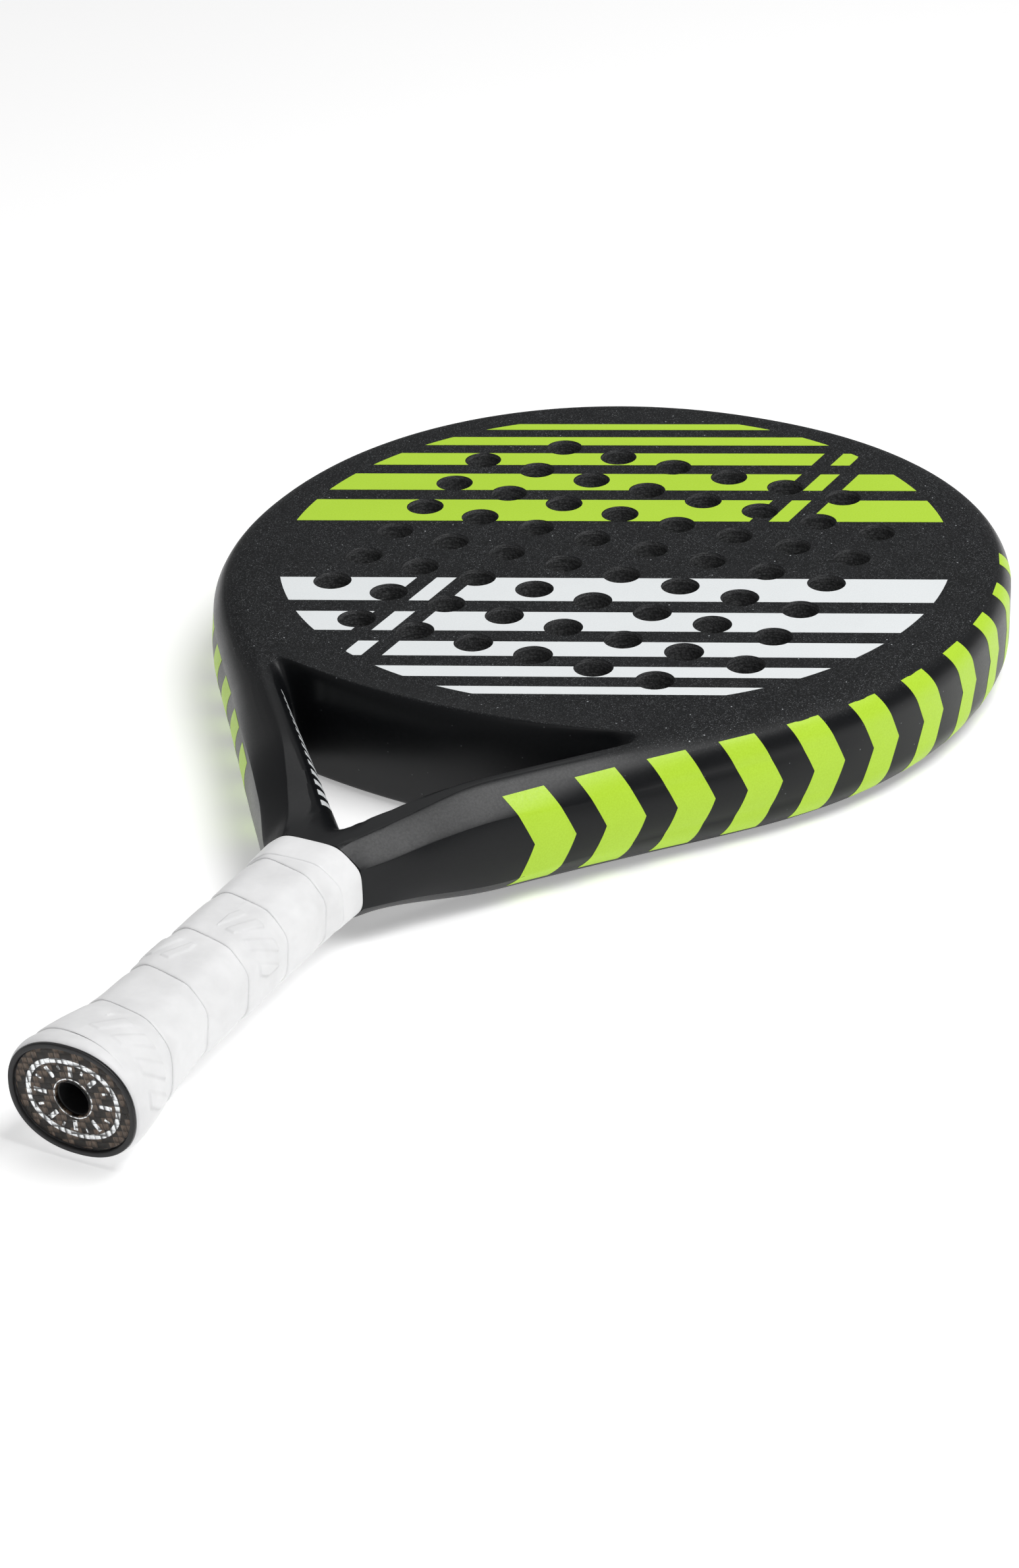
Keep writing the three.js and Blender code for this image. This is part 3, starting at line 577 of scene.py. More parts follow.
def shell_quarter():
    station, inner, wall_width, bridge, sheet_edge, head_inner, head_length = shell_plan()
    point, normal = on_outline(station)
    point[0] = (COLLAR_HALF[0], COLLAR_Y)
    point[-1] = (0, TIP_Y)
    normal[-1] = (0, 1)
    y = point[:, 1]
    depth, _, power, bow = bevel_at(y)
    side_in, side_z = rim_rows(y)
    side_in, side_z = side_in[:, :SIDE_ROWS + 1], side_z[:, :SIDE_ROWS + 1]
    side = point[:, None] - normal[:, None] * side_in[..., None]
    start = side[:, -1]
    start[0, 1] = COLLAR_Y
    span = norm(inner - start)
    ahead = unit(inner - start)
    square = np.clip(-(normal * ahead).sum(-1), 0.4, 1)
    angle = np.linspace(0, QUARTER, BEVEL_ROWS)
    bevel = ((depth - bow) / square)[:, None] * (1 - np.cos(angle) ** (2 / power[:, None]))
    wall_power = np.interp(np.arange(len(span)), POWER_CHANGE, THROAT_POWER[::-1])
    wall = wall_width[:, None] * (1 - np.cos(angle[:WALL_ROWS]) ** (2 / wall_power[:, None]))
    middle = span[:, None] * np.linspace(0.3, 0.7, FLAT_ROWS)
    at = np.sort(np.concatenate([bevel, span[:, None] - wall, middle], 1), 1)
    at = np.clip(at, 0, span[:, None])
    at[:, 0], at[:, -1] = 0, span
    plan = start[:, None] + ahead[:, None] * at[..., None]
    plan[:, -1] = inner
    z = surface_height(plan.reshape(-1, 2)).reshape(plan.shape[:2])
    z[:, 0] = side_z[:, -1]
    side3 = lift(side[:, :-1], side_z[:, :-1])
    over3 = lift(plan, z)
    for _ in range(SMOOTHINGS):
        over3[1:ARM_STATIONS, 1:-1] = smoothed(over3[:ARM_STATIONS + 1, 1:-1])
    over3[1:FORK_STATIONS - 1, -1, 2] = over3[1:FORK_STATIONS - 1, -2, 2]
    outer = np.concatenate([side3, over3], 1)

    bridge_z = surface_height(bridge.reshape(-1, 2)).reshape(bridge.shape[:2])
    bridge_z[:, 0] = MID_Z
    bridge3 = lift(bridge, bridge_z)
    junction_from = FORK_STATIONS + FORK_TO_JUNCTION
    junction_to = junction_from + bridge.shape[1] - 1
    outer[junction_from - 1:junction_to, -1, 2] = bridge3[-1, :, 2][:junction_to - junction_from + 1]
    outer[FORK_STATIONS - 1:junction_from, -1, 2] = MID_Z
    outer[junction_to:, -1, 2] = DEPTH
    bridge3[:, -1, 2] = DEPTH
    outer[-1, :, 0] = 0
    bridge3[0, :, 0] = 0
    outer[:FORK_STATIONS, -1, 0] = 0

    sheet_rim = np.concatenate([sheet_edge[:-1], head_inner])
    core_rim = core_boundary(sheet_edge, head_length)
    return outer, bridge3, sheet_rim, core_rim


def core_boundary(sheet_edge, head_length):
    """Where the foam core meets the frame, point for point with the sheet's edge."""
    point, normal = on_outline(head_length)
    rim = point - normal * CORE_INSET
    base = THROAT_FACE["bridge"] + CORE_SETBACK
    rim[:, 1] = np.maximum(rim[:, 1], bowed(rim[:, 0], base))
    rim[-1, 0] = 0
    scale = rim[0, 0] / sheet_edge[-1, 0]
    edge_x = sheet_edge[:-1, 0] * scale
    edge = pair(edge_x, bowed(edge_x, base))
    return np.concatenate([edge, rim])


def mirrored_grids(grid):
    """The four copies of a quarter grid, left to right and front to rear."""
    rear = grid * (1, 1, -1) + (0, 0, DEPTH)
    return [copy * (across, 1, 1) for across in (1, -1) for copy in (grid, rear)]


def frame_shell(materials):
    outer, bridge, sheet_rim, core_rim = shell_quarter()
    under = DEPTH - SHEET_THICK
    seat = ((sheet_rim, DEPTH), (sheet_rim, under), (core_rim, under), (core_rim, MID_Z))
    wall = np.stack([lift(rim, z) for rim, z in seat], 1)
    grids = [grid for quarter in (outer, bridge, wall) for grid in mirrored_grids(quarter)]
    points, faces = joined((grid.reshape(-1, 3), grid_quads(*grid.shape[:2])) for grid in grids)
    piece = new_piece("frame_shell", points, faces, materials, sharp=40, weld=True)
    return even_normals(piece), sheet_rim, core_rim


# ---- drilled plates: face sheets and core ----
def drilled_plate(name, rim, levels, materials, wall_material, sharp=12):
    """A plate with the sixty holes. levels are (z, hole radius) from the top to the bottom."""
    radius = levels[0][1]
    points, triangles = triangulate([rim] + hole_loops(radius))
    points, triangles = keep_inside(
        points, triangles, lambda p: in_loop(p, rim) & ~in_a_hole(p, radius * 0.99))
    away = points[:, None] - HOLES
    reach = norm(away)
    nearest = reach.argmin(1)
    on_hole = reach.min(1) < radius + 0.02
    rows = np.arange(len(points))
    direction = away[rows, nearest] / reach[rows, nearest][:, None]
    layers = []
    for z, hole in levels:
        layer = points.copy()
        layer[on_hole] = HOLES[nearest[on_hole]] + direction[on_hole] * hole
        layers.append(lift(layer, z))
    count = len(points)
    faces = two_sides(triangles.tolist(), (len(levels) - 1) * count)
    kind = [0] * len(faces)
    for a, b in open_edges(triangles.tolist()):
        hole_edge = bool(on_hole[a] and on_hole[b])
        for level in range(len(levels) - 1):
            top, low = level * count, (level + 1) * count
            faces.append([b + top, a + top, a + low, b + low])
            kind.append(wall_material[level] if hole_edge else 0)
    return new_piece(name, np.concatenate(layers), faces, materials, sharp, kind)


def face_sheet(name, rim, front, materials):
    lip = ((0, LIP), (LIP / 2, LIP * 0.45), (LIP, 0), (SHEET_THICK, 0))
    levels = [(DEPTH - down if front else down, HOLE_RADIUS + grow) for down, grow in lip]
    # the hole wall below the lip takes the second material, a paler grey that is a painted highlight on the
    # lit rim of each hole
    return drilled_plate(name, rim, levels, materials, [0, 0, 1])


# ---- printed layers ----
INK = 0.04
GRAPHIC_CENTRE = np.array([0, HEAD_CENTRE_Y + 2])
GRAPHIC_RADIUS = 110.5
GRAPHIC_TURN = math.radians(23.3)
STRIPES = ((22, 39), (47, 60.5), (68, 78), (85, 92), (98.5, 103.5))
SLASH_AT = (34, 47)
SLASH_WIDTH = 6.5
SLASH_LEAN = 0.45
FAR = 1000


def from_graphic(along, up, side):
    cos, sin = math.cos(GRAPHIC_TURN), math.sin(GRAPHIC_TURN)
    return GRAPHIC_CENTRE + side * np.array([along * cos - up * sin, along * sin + up * cos])


def stripe_loops(side):
    """Each stripe as a closed loop: straight long edges, ends on the circle, cut by two slashes."""
    cuts = [-FAR, *(at + more for at in SLASH_AT for more in (0, SLASH_WIDTH)), FAR]
    spans = list(zip(cuts[::2], cuts[1::2]))
    parts = [stripe_part(*edges, *span, side) for edges in STRIPES for span in spans]
    return [loop for loop in parts if loop is not None]


def stripe_part(low, high, left, right, side):
    def ends(up):
        half = math.sqrt(GRAPHIC_RADIUS ** 2 - up ** 2)
        return max(-half, left + SLASH_LEAN * up), min(half, right + SLASH_LEAN * up)
    rows = np.linspace(low, high, 9)
    edges = [ends(up) for up in rows]
    if min(b - a for a, b in edges) < 1.5:
        return None
    loop = [from_graphic(b, up, side) for up, (_, b) in zip(rows, edges)]
    loop += [from_graphic(a, up, side) for up, (a, _) in reversed(list(zip(rows, edges)))]
    return np.array(loop)


def face_print(name, side, front, material):
    loops = stripe_loops(side)
    points, triangles = triangulate(loops + hole_loops(HOLE_RADIUS + LIP + 0.1))

    def printed(middles):
        inside = np.zeros(len(middles), bool)
        for loop in loops:
            inside |= in_loop(middles, loop)
        return inside & ~in_a_hole(middles, HOLE_RADIUS + LIP + 0.08)

    points, triangles = keep_inside(points, triangles, printed)
    surface = DEPTH if front else 0
    over = INK if front else -INK
    layers = np.concatenate([lift(points, surface + over), lift(points, surface)])
    return new_piece(name, layers, plate_faces(triangles.tolist(), len(points)), [material], sharp=30)


def rim_surface(plan):
    """Points and outward normals on the rim, from lengths along the outline and across from mid depth."""
    length, across = plan.T
    point, normal = on_outline(length)
    inward, height = rim_rows(point[:, 1])
    profile = pair(-inward, height - MID_Z)
    steps = norm(np.diff(profile, axis=1))
    run = np.concatenate([np.zeros((len(point), 1)), np.cumsum(steps, 1)], 1)
    target = np.abs(across)
    span = np.array([np.searchsorted(run[k], target[k], side="right") - 1 for k in range(len(point))])
    span = np.clip(span, 0, run.shape[1] - 2)
    rows = np.arange(len(point))
    share = (target - run[rows, span]) / np.maximum(run[rows, span + 1] - run[rows, span], 1e-9)
    at = mix(profile[rows, span], profile[rows, span + 1], share[:, None])
    tangent = unit(profile[rows, span + 1] - profile[rows, span])
    flip = np.where(across < 0, -1.0, 1.0)
    out, rise = tangent[:, 1], -tangent[:, 0]
    place3 = lift(point + normal * at[:, :1], MID_Z + at[:, 1] * flip)
    normal3 = lift(normal * out[:, None], rise * flip)
    return place3, unit(normal3)


CHEVRONS = 11
CHEVRON_FROM = 55
CHEVRON_STEP = 23.5
CHEVRON_WIDTH = 13.5
CHEVRON_LEAN = 0.42
CHEVRON_REACH = {1: (-16.5, 17.5), -1: (-20, 8.5)}


def chevron_loop(k, side):
    """One chevron of the side band as (length, across) points."""
    base = CHEVRON_FROM + k * CHEVRON_STEP
    width = CHEVRON_WIDTH * (1 - 0.035 * k)
    low, high = CHEVRON_REACH[side]
    rows = np.linspace(low, high, 35)
    lean = -CHEVRON_LEAN * np.abs(rows - (low + high) / 2)
    right = pair(base + width + lean, rows)
    left = pair(base + lean, rows)
    return np.concatenate([right, left[::-1]])


def skin_print(name, loops, spacing, surface, side, material):
    """Closed thin skins over a surface, from loops in its own two coordinates."""
    parts = []
    for loop in loops:
        low, high = loop.min(0), loop.max(0)
        counts = np.ceil((high - low) / spacing).astype(int) + 1
        axes = [np.linspace(low[k], high[k], counts[k]) for k in (0, 1)]
        inner = np.stack(np.meshgrid(*axes), -1).reshape(-1, 2)
        gap = norm(inner[:, None] - loop).min(1)
        inner = inner[in_loop(inner, loop) & (gap > min(spacing) * 0.45)]
        plan, triangles = triangulate([loop], [inner])
        plan, triangles = keep_inside(plan, triangles, lambda p: in_loop(p, loop))
        at, normal = surface(plan)
        both = np.concatenate([at + normal * (INK * 1.6), at + normal * (INK * 0.4)])
        both[:, 0] *= side
        parts.append((both, plate_faces(triangles.tolist(), len(plan))))
    return new_piece(name, *joined(parts), [material], sharp=40)


def side_print(name, side, material):
    loops = [chevron_loop(k, side) for k in range(CHEVRONS)]
    return skin_print(name, loops, (1.6, 0.9), rim_surface, side, material)


TICKS = 14
TICKS_FROM = 8
TICK_STEP = 6
TICK = np.array([(0, 24), (3, 24), (5.2, 52), (2.2, 52)])


def wall_surface(plan):
    """Points and normals on the front of the arm's throat wall, from (percent down the arm, wall angle)."""
    at = mix(ARM_FIRST_STEP, ARM_LAST_STEP, plan[:, 0] / 100) * THROAT_STEPS
    low = np.floor(at).astype(int)
    share = (at - low)[:, None]
    mid = mix(MID_HALF[low], MID_HALF[low + 1], share)
    face = mix(FACE_HALF[low], FACE_HALF[low + 1], share)
    angle = np.radians(plan[:, 1])
    opened = 1 - np.cos(angle) ** (2 / THROAT_POWER[1])
    spot = mix(mid, face, opened[:, None])
    z = surface_height(spot)
    step = 0.05
    falls = [surface_height(spot - move) - surface_height(spot + move) for move in np.eye(2) * step]
    normal = unit(lift(pair(*falls), 2 * step))
    return lift(spot, z), normal


def arm_print(name, side, material):
    loops = [dense_loop(TICK + (TICKS_FROM + k * TICK_STEP, 0), 8) for k in range(TICKS)]
    return skin_print(name, loops, (1.0, 3.0), wall_surface, side, material)


def dense_loop(corners, steps):
    after = np.roll(corners, -1, 0)
    share = np.linspace(0, 1, steps, endpoint=False)[:, None]
    return np.concatenate([mix(a, b, share) for a, b in zip(corners, after)])


# ---- handle sections ----
CORNER = (0.47, 0.496)
OVAL_POWER = 2.2
SEAM_PITCH = 21.3
SEAM_TOP_Y = -114.6
FLARE_START_Y = -187
FLARE_LENGTH = 40
RIM_HALF = np.array([19.9, 16.9])
RIM_SWELL = np.array([1.0, 0.9])
SHAFT = np.array([12.8, 9.3])
BASE_WRAP = np.array([14.0, 10.5])
TAPE_OUTER = np.array([15.9, 12.3])
FINISH_OUTER = np.array([16.8, 13.1])
BADGE_HALF = np.array([disc_high.x, disc_high.z - MID_Z])
HANDLE_SIDES = 96
SOFT_CORNER = 16
CRISP_CORNER = 24


def section_radius(angle, half_x, half_z, oval, corner=SOFT_CORNER):
    """Radius of a soft-cornered octagon at an angle from +X toward +Z, swelling to an oval."""
    cos, sin = np.abs(np.cos(angle)), np.abs(np.sin(angle))
    x, z = cos / half_x, sin / half_z
    across = (x * CORNER[1] + z * CORNER[0]) / (CORNER[0] + CORNER[1] - CORNER[0] * CORNER[1])
    octagon = 1 / (x ** corner + z ** corner + across ** corner) ** (1 / corner)
    round_off = 1 / (x ** OVAL_POWER + z ** OVAL_POWER) ** (1 / OVAL_POWER)
    return mix(octagon, round_off, oval)


def ring_at(y, angle, radius):
    y, radius = np.broadcast_arrays(y, radius)
    return np.stack([radius * np.cos(angle), y, MID_Z + radius * np.sin(angle)], -1)


def section_ring(y, half, oval=0, sides=HANDLE_SIDES, corner=CRISP_CORNER):
    angle = whole_turn(sides)
    return ring_at(y, angle, section_radius(angle, half[0], half[1], oval, corner))


def round_ring(y, radius, sides=HANDLE_SIDES):
    angle = whole_turn(sides)
    return ring_at(y, angle, np.full(sides, float(radius)))


def flare(y):
    return ease((FLARE_START_Y - y) / FLARE_LENGTH)


def wrapped(start, y):
    """Half sizes of a wrap at y, and how far it has swelled to the butt."""
    end = RIM_HALF - (TAPE_OUTER - start) + RIM_SWELL
    share = flare(y)
    return mix(start[0], end[0], share), mix(start[1], end[1], share), share


# ---- the spiral grip ----
LAP_STEP = 0.42
LAP_WIDTH = 5
EDGE_ROLL = 0.22
CROWN_HEIGHT = 0.14
PUCKER_HEIGHT = 0.045
EMBOSS_HEIGHT = 0.42
EMBOSSED_TURNS = (1, 4)
BAR_EDGE = 0.3
BAR_LEAN = 0.5
BAR_PITCH = 6.8
BAR = (1.2, 4.9)
BAR_ROWS = (5.6, 15.9)
GROUP_PITCH = 40
GROUP = (4, 34.5)
TAPE_GIRTH = 92
TURN_SIDES = 240
TURNS = 9
LAST_SEAM = 6.0
LAST_TURN = 5.45
END_ROLL = 3.5
STRIP_ROWS = np.concatenate([
    [0, 0.05, 0.2, 0.45, 0.8, 1.3, 2, 3, 4.1], np.linspace(4.9, 16.5, 29),
    [17.3, 18.3, 19.2, 19.9, 20.4, 20.75, 21.0, 21.15, 21.24],
])


def emboss(travel, along):
    """Raised slanted bars in groups, pressed into some turns of the tape."""
    bar = between((travel + along * BAR_LEAN) % BAR_PITCH, *BAR, BAR_EDGE)
    rows = between(along, *BAR_ROWS, BAR_EDGE)
    return EMBOSS_HEIGHT * bar * rows * between(travel % GROUP_PITCH, *GROUP, BAR_EDGE)


def strip_relief(turn, around, along):
    """Height of one turn over the plain section: lapped edge, soft crown, bars, small puckers."""
    share = along / SEAM_PITCH
    lap = LAP_STEP * (ease(along / LAP_WIDTH) - 1) + 0.12 * share
    rolled = -EDGE_ROLL * np.exp(-((SEAM_PITCH - along) / 0.35) ** 2)
    crown = CROWN_HEIGHT * np.sin(math.pi * share) ** 0.8
    travel = (around + turn) * TAPE_GIRTH
    pucker = PUCKER_HEIGHT * np.sin(travel * 0.23 + 1.7 * turn) * np.sin(math.pi * share * 2 + travel * 0.11)
    raised = emboss(travel, along) * np.isin(turn, EMBOSSED_TURNS)
    return lap + rolled + crown + pucker + raised - 0.1


def seam_wobble(around):
    return 0.5 * np.sin(around * FULL * 2 + 0.8) * np.sin(around * FULL / 2) ** 2


def grip_tape(material):
    """One strip wound in a spiral from above the collar to below the butt, cut off at both ends."""
    top, low = tape_high.y, tape_low.y
    turn = np.repeat(np.arange(TURNS) - 2, TURN_SIDES)
    around = np.tile(np.arange(TURN_SIDES) / TURN_SIDES, TURNS)
    angle = QUARTER - around * FULL
    start = SEAM_TOP_Y - seam_wobble(around) - SEAM_PITCH * (turn + around)
    start = np.maximum(start, low + LAST_SEAM * (1 - ease((turn + around - LAST_TURN) / 0.4)))
    y = start[:, None] - STRIP_ROWS
    held = np.clip(y, low, top)
    relief = strip_relief(turn[:, None], around[:, None], STRIP_ROWS)
    calm = ease((top - held) / 1.5) * ease((held - low - 1.5) / 3)
    half_x, half_z, share = wrapped(TAPE_OUTER, held)
    radius = section_radius(angle[:, None], half_x, half_z, share) + relief * calm
    rolled = np.clip((low + END_ROLL - held) / END_ROLL, 0, 1)
    radius = radius - 0.55 * rolled ** 2 - 0.35 * np.clip((rolled - 0.8) / 0.2, 0, 1) ** 2
    outer = ring_at(held, angle[:, None], radius)
    strip = np.concatenate([outer[:-TURN_SIDES], outer[TURN_SIDES:, :1]], 1)
    turned = angle[:TURN_SIDES]
    inner = []
    for at in np.concatenate([[top], np.linspace(top - 0.3, low + 0.3, 26), [low]]):
        a, b, s = wrapped(TAPE_OUTER if at in (top, low) else BASE_WRAP + 0.3, at)
        end_loss = 0.9 if at == low else 0
        inner.append(ring_at(at, turned, section_radius(turned, a, b, s) - end_loss))
    points, faces = joined([
        (strip.reshape(-1, 3), grid_quads(*strip.shape[:2])),
        (np.concatenate(inner), grid_quads(len(inner), TURN_SIDES, wrap=True)),
    ])
    return new_piece("grip_wrap", points, faces, [material], sharp=60, weld=True)


GROOVE_DEPTH = 0.2


def underlay_wrap(material):
    angle = whole_turn(HANDLE_SIDES)
    rings = []
    for at in np.linspace(base_high.y, base_low.y, 90):
        along = (SEAM_TOP_Y - at - SEAM_PITCH * angle / FULL) % SEAM_PITCH
        groove = GROOVE_DEPTH * np.exp(-(along / 0.8) ** 2)
        rings.append(ring_at(at, angle, section_radius(angle, *(BASE_WRAP - 0.05), 0) - groove))
    rings += [section_ring(at, SHAFT + 0.3) for at in (base_low.y + 0.2, base_high.y - 0.2)]
    return ring_piece("underlay_wrap", rings, material, 50)


SECOND_LAYER = 0.1
THINNING = 0.35
FINISH_EDGE = {0: -1.0, 0.05: -0.5, 0.15: -0.22, 0.35: -0.06, 0.7: 0}


def finish_band(material):
    """The stretch tape that closes the grip: soft edges and the faint end of its second layer."""
    top, low = finish_high.y, finish_low.y
    sides = 192
    angle = whole_turn(sides)
    length = top - low
    other_edge = [length - depth for depth in reversed(FINISH_EDGE)]
    down = [*FINISH_EDGE, 1.6, *np.linspace(2.2, length - 1.2, 22), *other_edge]
    loss_at = list(FINISH_EDGE.values())
    lost = loss_at + [0] * 23 + loss_at[::-1]
    rings = []
    for depth, loss in zip(down, lost):
        share = angle / FULL - 0.10 - 0.004 * depth
        step = SECOND_LAYER * ease(share / 0.004) * ease((0.86 - share) / 0.4)
        thinning = THINNING * ease(depth / length)
        radius = section_radius(angle, *(FINISH_OUTER - 0.2), 0) + loss - thinning + step * (loss > -0.3)
        rings.append(ring_at(top - depth, angle, radius))
    rings += [section_ring(at, TAPE_OUTER + 0.02, 0, sides, SOFT_CORNER) for at in (low + 0.1, top - 0.05)]
    return ring_piece("finish_band", rings, material, 60)


# ---- butt end ----
BUTT_SIDES = 160
BADGE_HOLE = 5.4
BADGE_FACE_Y = emblem_high.y - 0.15
DOME_FRONT_Y = dome_low.y
DOME_EDGE = 1.5
DOME_LIP = 0.55
RIM_PROFILE = (
    (0.02, -0.6), (-0.12, -0.2), (-0.3, -0.03), (-0.42, 0), (-0.6, -0.06), (-0.74, -0.2), (-0.8, -0.45),
)
CORD_BORE = 6.4
KNOT_HALF = (11, 8)
KNOT_FLOOR = 4
KNOT_TOP_Y = -205.6
RECESS_PROFILE = ((0, 0.75), (0.06, 0.5), (0.25, 0.33), (0.6, 0.3))


def oval_ring(y, half):
    return section_ring(y, half, 1, BUTT_SIDES)


def butt_cap(material):
    rings = []
    for at in np.linspace(cap_high.y, tape_low.y, 16):
        a, b, s = wrapped(SHAFT + 1.2, at)
        rings.append(section_ring(at, (a, b), s, BUTT_SIDES))
    low = cap_low.y
    shoulder = low + 0.8
    for down, grow in RIM_PROFILE:
        rings.append(oval_ring(shoulder + down, RIM_HALF + grow))
    for up, grow in RECESS_PROFILE + ((disc_high.y - low, 0.3),):
        rings.append(oval_ring(low + up, BADGE_HALF + grow))
    rings += [round_ring(disc_high.y + up, CORD_BORE, BUTT_SIDES) for up in (0, KNOT_FLOOR - 0.4)]
    inside = (
        (disc_high.y + KNOT_FLOOR, KNOT_HALF), (KNOT_TOP_Y, KNOT_HALF),
        (KNOT_TOP_Y + 0.3, SHAFT + 0.3), (cap_high.y - 0.2, SHAFT + 0.3),
    )
    rings += [section_ring(at, half, 0, BUTT_SIDES) for at, half in inside]
    return ring_piece("butt_rim", rings, material, 40)


def cord_bush(material):
    outer, bore = bush_high.x, bush_high.x - 0.95
    low, high = bush_low.y, bush_high.y
    profile = [
        (high, outer), (low + 0.2, outer), (low, outer - 0.2),
        (low, bore + 0.3), (low + 0.15, bore + 0.08), (low + 0.45, bore), (high, bore),
    ]
    return ring_piece("cord_eyelet", [round_ring(y, r) for y, r in profile], material, 45)


def badge_plate(material):
    high, low = disc_high.y, BADGE_FACE_Y
    rings = [
        oval_ring(high, BADGE_HALF), oval_ring(low, BADGE_HALF),
        round_ring(low, BADGE_HOLE, BUTT_SIDES), round_ring(high, BADGE_HOLE, BUTT_SIDES),
    ]
    return ring_piece("badge_plate", rings, material, 30)


def badge_dome(material):
    """Clear resin poured over the badge: flat, with a rounded edge and a rounded lip at the hole."""
    back, front = BADGE_FACE_Y - 0.12, DOME_FRONT_Y
    edge = BADGE_HALF + 0.25
    rings = [oval_ring(back, edge)]
    for angle in np.linspace(0, QUARTER, 9):
        half = edge - DOME_EDGE * (1 - math.cos(angle))
        rings.append(oval_ring(mix(back - 0.35, front, math.sin(angle)), half))
    for angle in np.linspace(0, QUARTER, 7):
        up, grow = DOME_LIP * (1 - math.cos(angle)), DOME_LIP * (1 - math.sin(angle))
        rings.append(round_ring(front + up, BADGE_HOLE + grow, BUTT_SIDES))
    rings.append(round_ring(back, BADGE_HOLE, BUTT_SIDES))
    return ring_piece("badge_dome_clear", rings, material, 40)


EMBLEM_TICKS = 16
EMBLEM_WIDTH = 1.5
EMBLEM_BARS = ((0.56, 0.65), (0.71, 0.35))
EMBLEM_BAR_END = 0.83


def emblem(material):
    """An oval ring with free bars inside it, like a bezel, and a slim ring at the hole."""
    outer = np.array([emblem_high.x, emblem_high.z - MID_Z])
    high, low = BADGE_FACE_Y - 0.01, BADGE_FACE_Y - 0.08
    bezel = ((high, 0), (low, -0.05), (low, 0.05 - EMBLEM_WIDTH), (high, -EMBLEM_WIDTH))
    slim = ((high, 0.75), (low, 0.7), (low, 0.4), (high, 0.35))
    parts = [
        ring_solid([oval_ring(at, outer + grow) for at, grow in bezel], True),
        ring_solid([round_ring(at, BADGE_HOLE + grow, BUTT_SIDES) for at, grow in slim], True),
    ]
    for k in range(EMBLEM_TICKS):
        angle = k / EMBLEM_TICKS * FULL
        start, half_width = EMBLEM_BARS[k % 2]
        direction = np.array([math.cos(angle), math.sin(angle)])
        across = np.array([-direction[1], direction[0]]) * half_width
        full = section_radius(np.array(angle), outer[0], outer[1], 1)
        a, b = direction * full * start, direction * full * EMBLEM_BAR_END
        corners = [a - across, b - across, b + across, a + across]
        parts.append(ring_solid([[(x, y, MID_Z + z) for x, z in corners] for y in (high, low)], False))
    return new_piece("badge_bezel", *joined(parts), [material], sharp=30)


# ---- materials ----
class Maker:
    """One node material, with short calls for the nodes the finishes share."""

    def __init__(self, name, colour, roughness, **fixed):
        self.material = bpy.data.materials.new(name)
        self.material.use_nodes = True
        self.tree = self.material.node_tree
        self.shader = self.tree.nodes["Principled BSDF"]
        self.set("Base Color", (*colour, 1))
        self.set("Roughness", roughness)
        for key, value in fixed.items():
            self.set(key.replace("_", " "), value)
        self.place = self.node("ShaderNodeTexCoord").outputs["Object"]

    def set(self, socket, value):
        self.shader.inputs[socket].default_value = value

    def node(self, kind, links=(), values=(), **settings):
        made = self.tree.nodes.new(kind)
        for key, value in settings.items():
            setattr(made, key, value)
        for key, value in dict(values).items():
            made.inputs[key].default_value = value
        for key, source in dict(links).items():
            self.tree.links.new(source, made.inputs[key])
        return made

    def finish(self, colour, roughness=None, normal=None):
        """The material, once what it is given here is joined to the shader."""
        for socket, source in (("Base Color", colour), ("Roughness", roughness), ("Normal", normal)):
            if source is not None:
                self.tree.links.new(source, self.shader.inputs[socket])
        return self.material

    def noise(self, size_mm, detail=3, place=None, roughness=0.55):
        made = self.node("ShaderNodeTexNoise", {"Vector": place or self.place}, {
            "Scale": PER_METRE / size_mm, "Detail": detail, "Roughness": roughness,
        })
        return made.outputs["Fac"]

    def cells(self, size_mm):
        return self.node("ShaderNodeTexVoronoi", {"Vector": self.place}, {"Scale": PER_METRE / size_mm})

    def math(self, operation, a, b=None):
        made = self.node("ShaderNodeMath", operation=operation)
        for index, value in enumerate((a, b)):
            if value is None:
                continue
            if isinstance(value, (int, float)):
                made.inputs[index].default_value = value
            else:
                self.tree.links.new(value, made.inputs[index])
        return made.outputs[0]

    def minus(self, a, b):
        return self.math("SUBTRACT", a, b)

    def times(self, a, b):
        return self.math("MULTIPLY", a, b)

    def plus(self, a, b):
        return self.math("ADD", a, b)

    def ramp(self, value, low, high, to_low=0.0, to_high=1.0):
        made = self.node("ShaderNodeMapRange", {"Value": value}, {
            "From Min": low, "From Max": high, "To Min": to_low, "To Max": to_high,
        }, interpolation_type="SMOOTHSTEP")
        return made.outputs["Result"]

    def colours(self, share, low, high):
        made = self.node("ShaderNodeMix", {0: share}, data_type="RGBA")
        for index, value in ((6, low), (7, high)):
            if isinstance(value, tuple):
                made.inputs[index].default_value = (*value, 1)
            else:
                self.tree.links.new(value, made.inputs[index])
        return made.outputs[2]

    def bump(self, height, distance_mm, strength=1.0, under=None):
        links = {"Height": height}
        if under is not None:
            links["Normal"] = under
        made = self.node("ShaderNodeBump", links, {"Distance": distance_mm / PER_METRE, "Strength": strength})
        return made.outputs["Normal"]


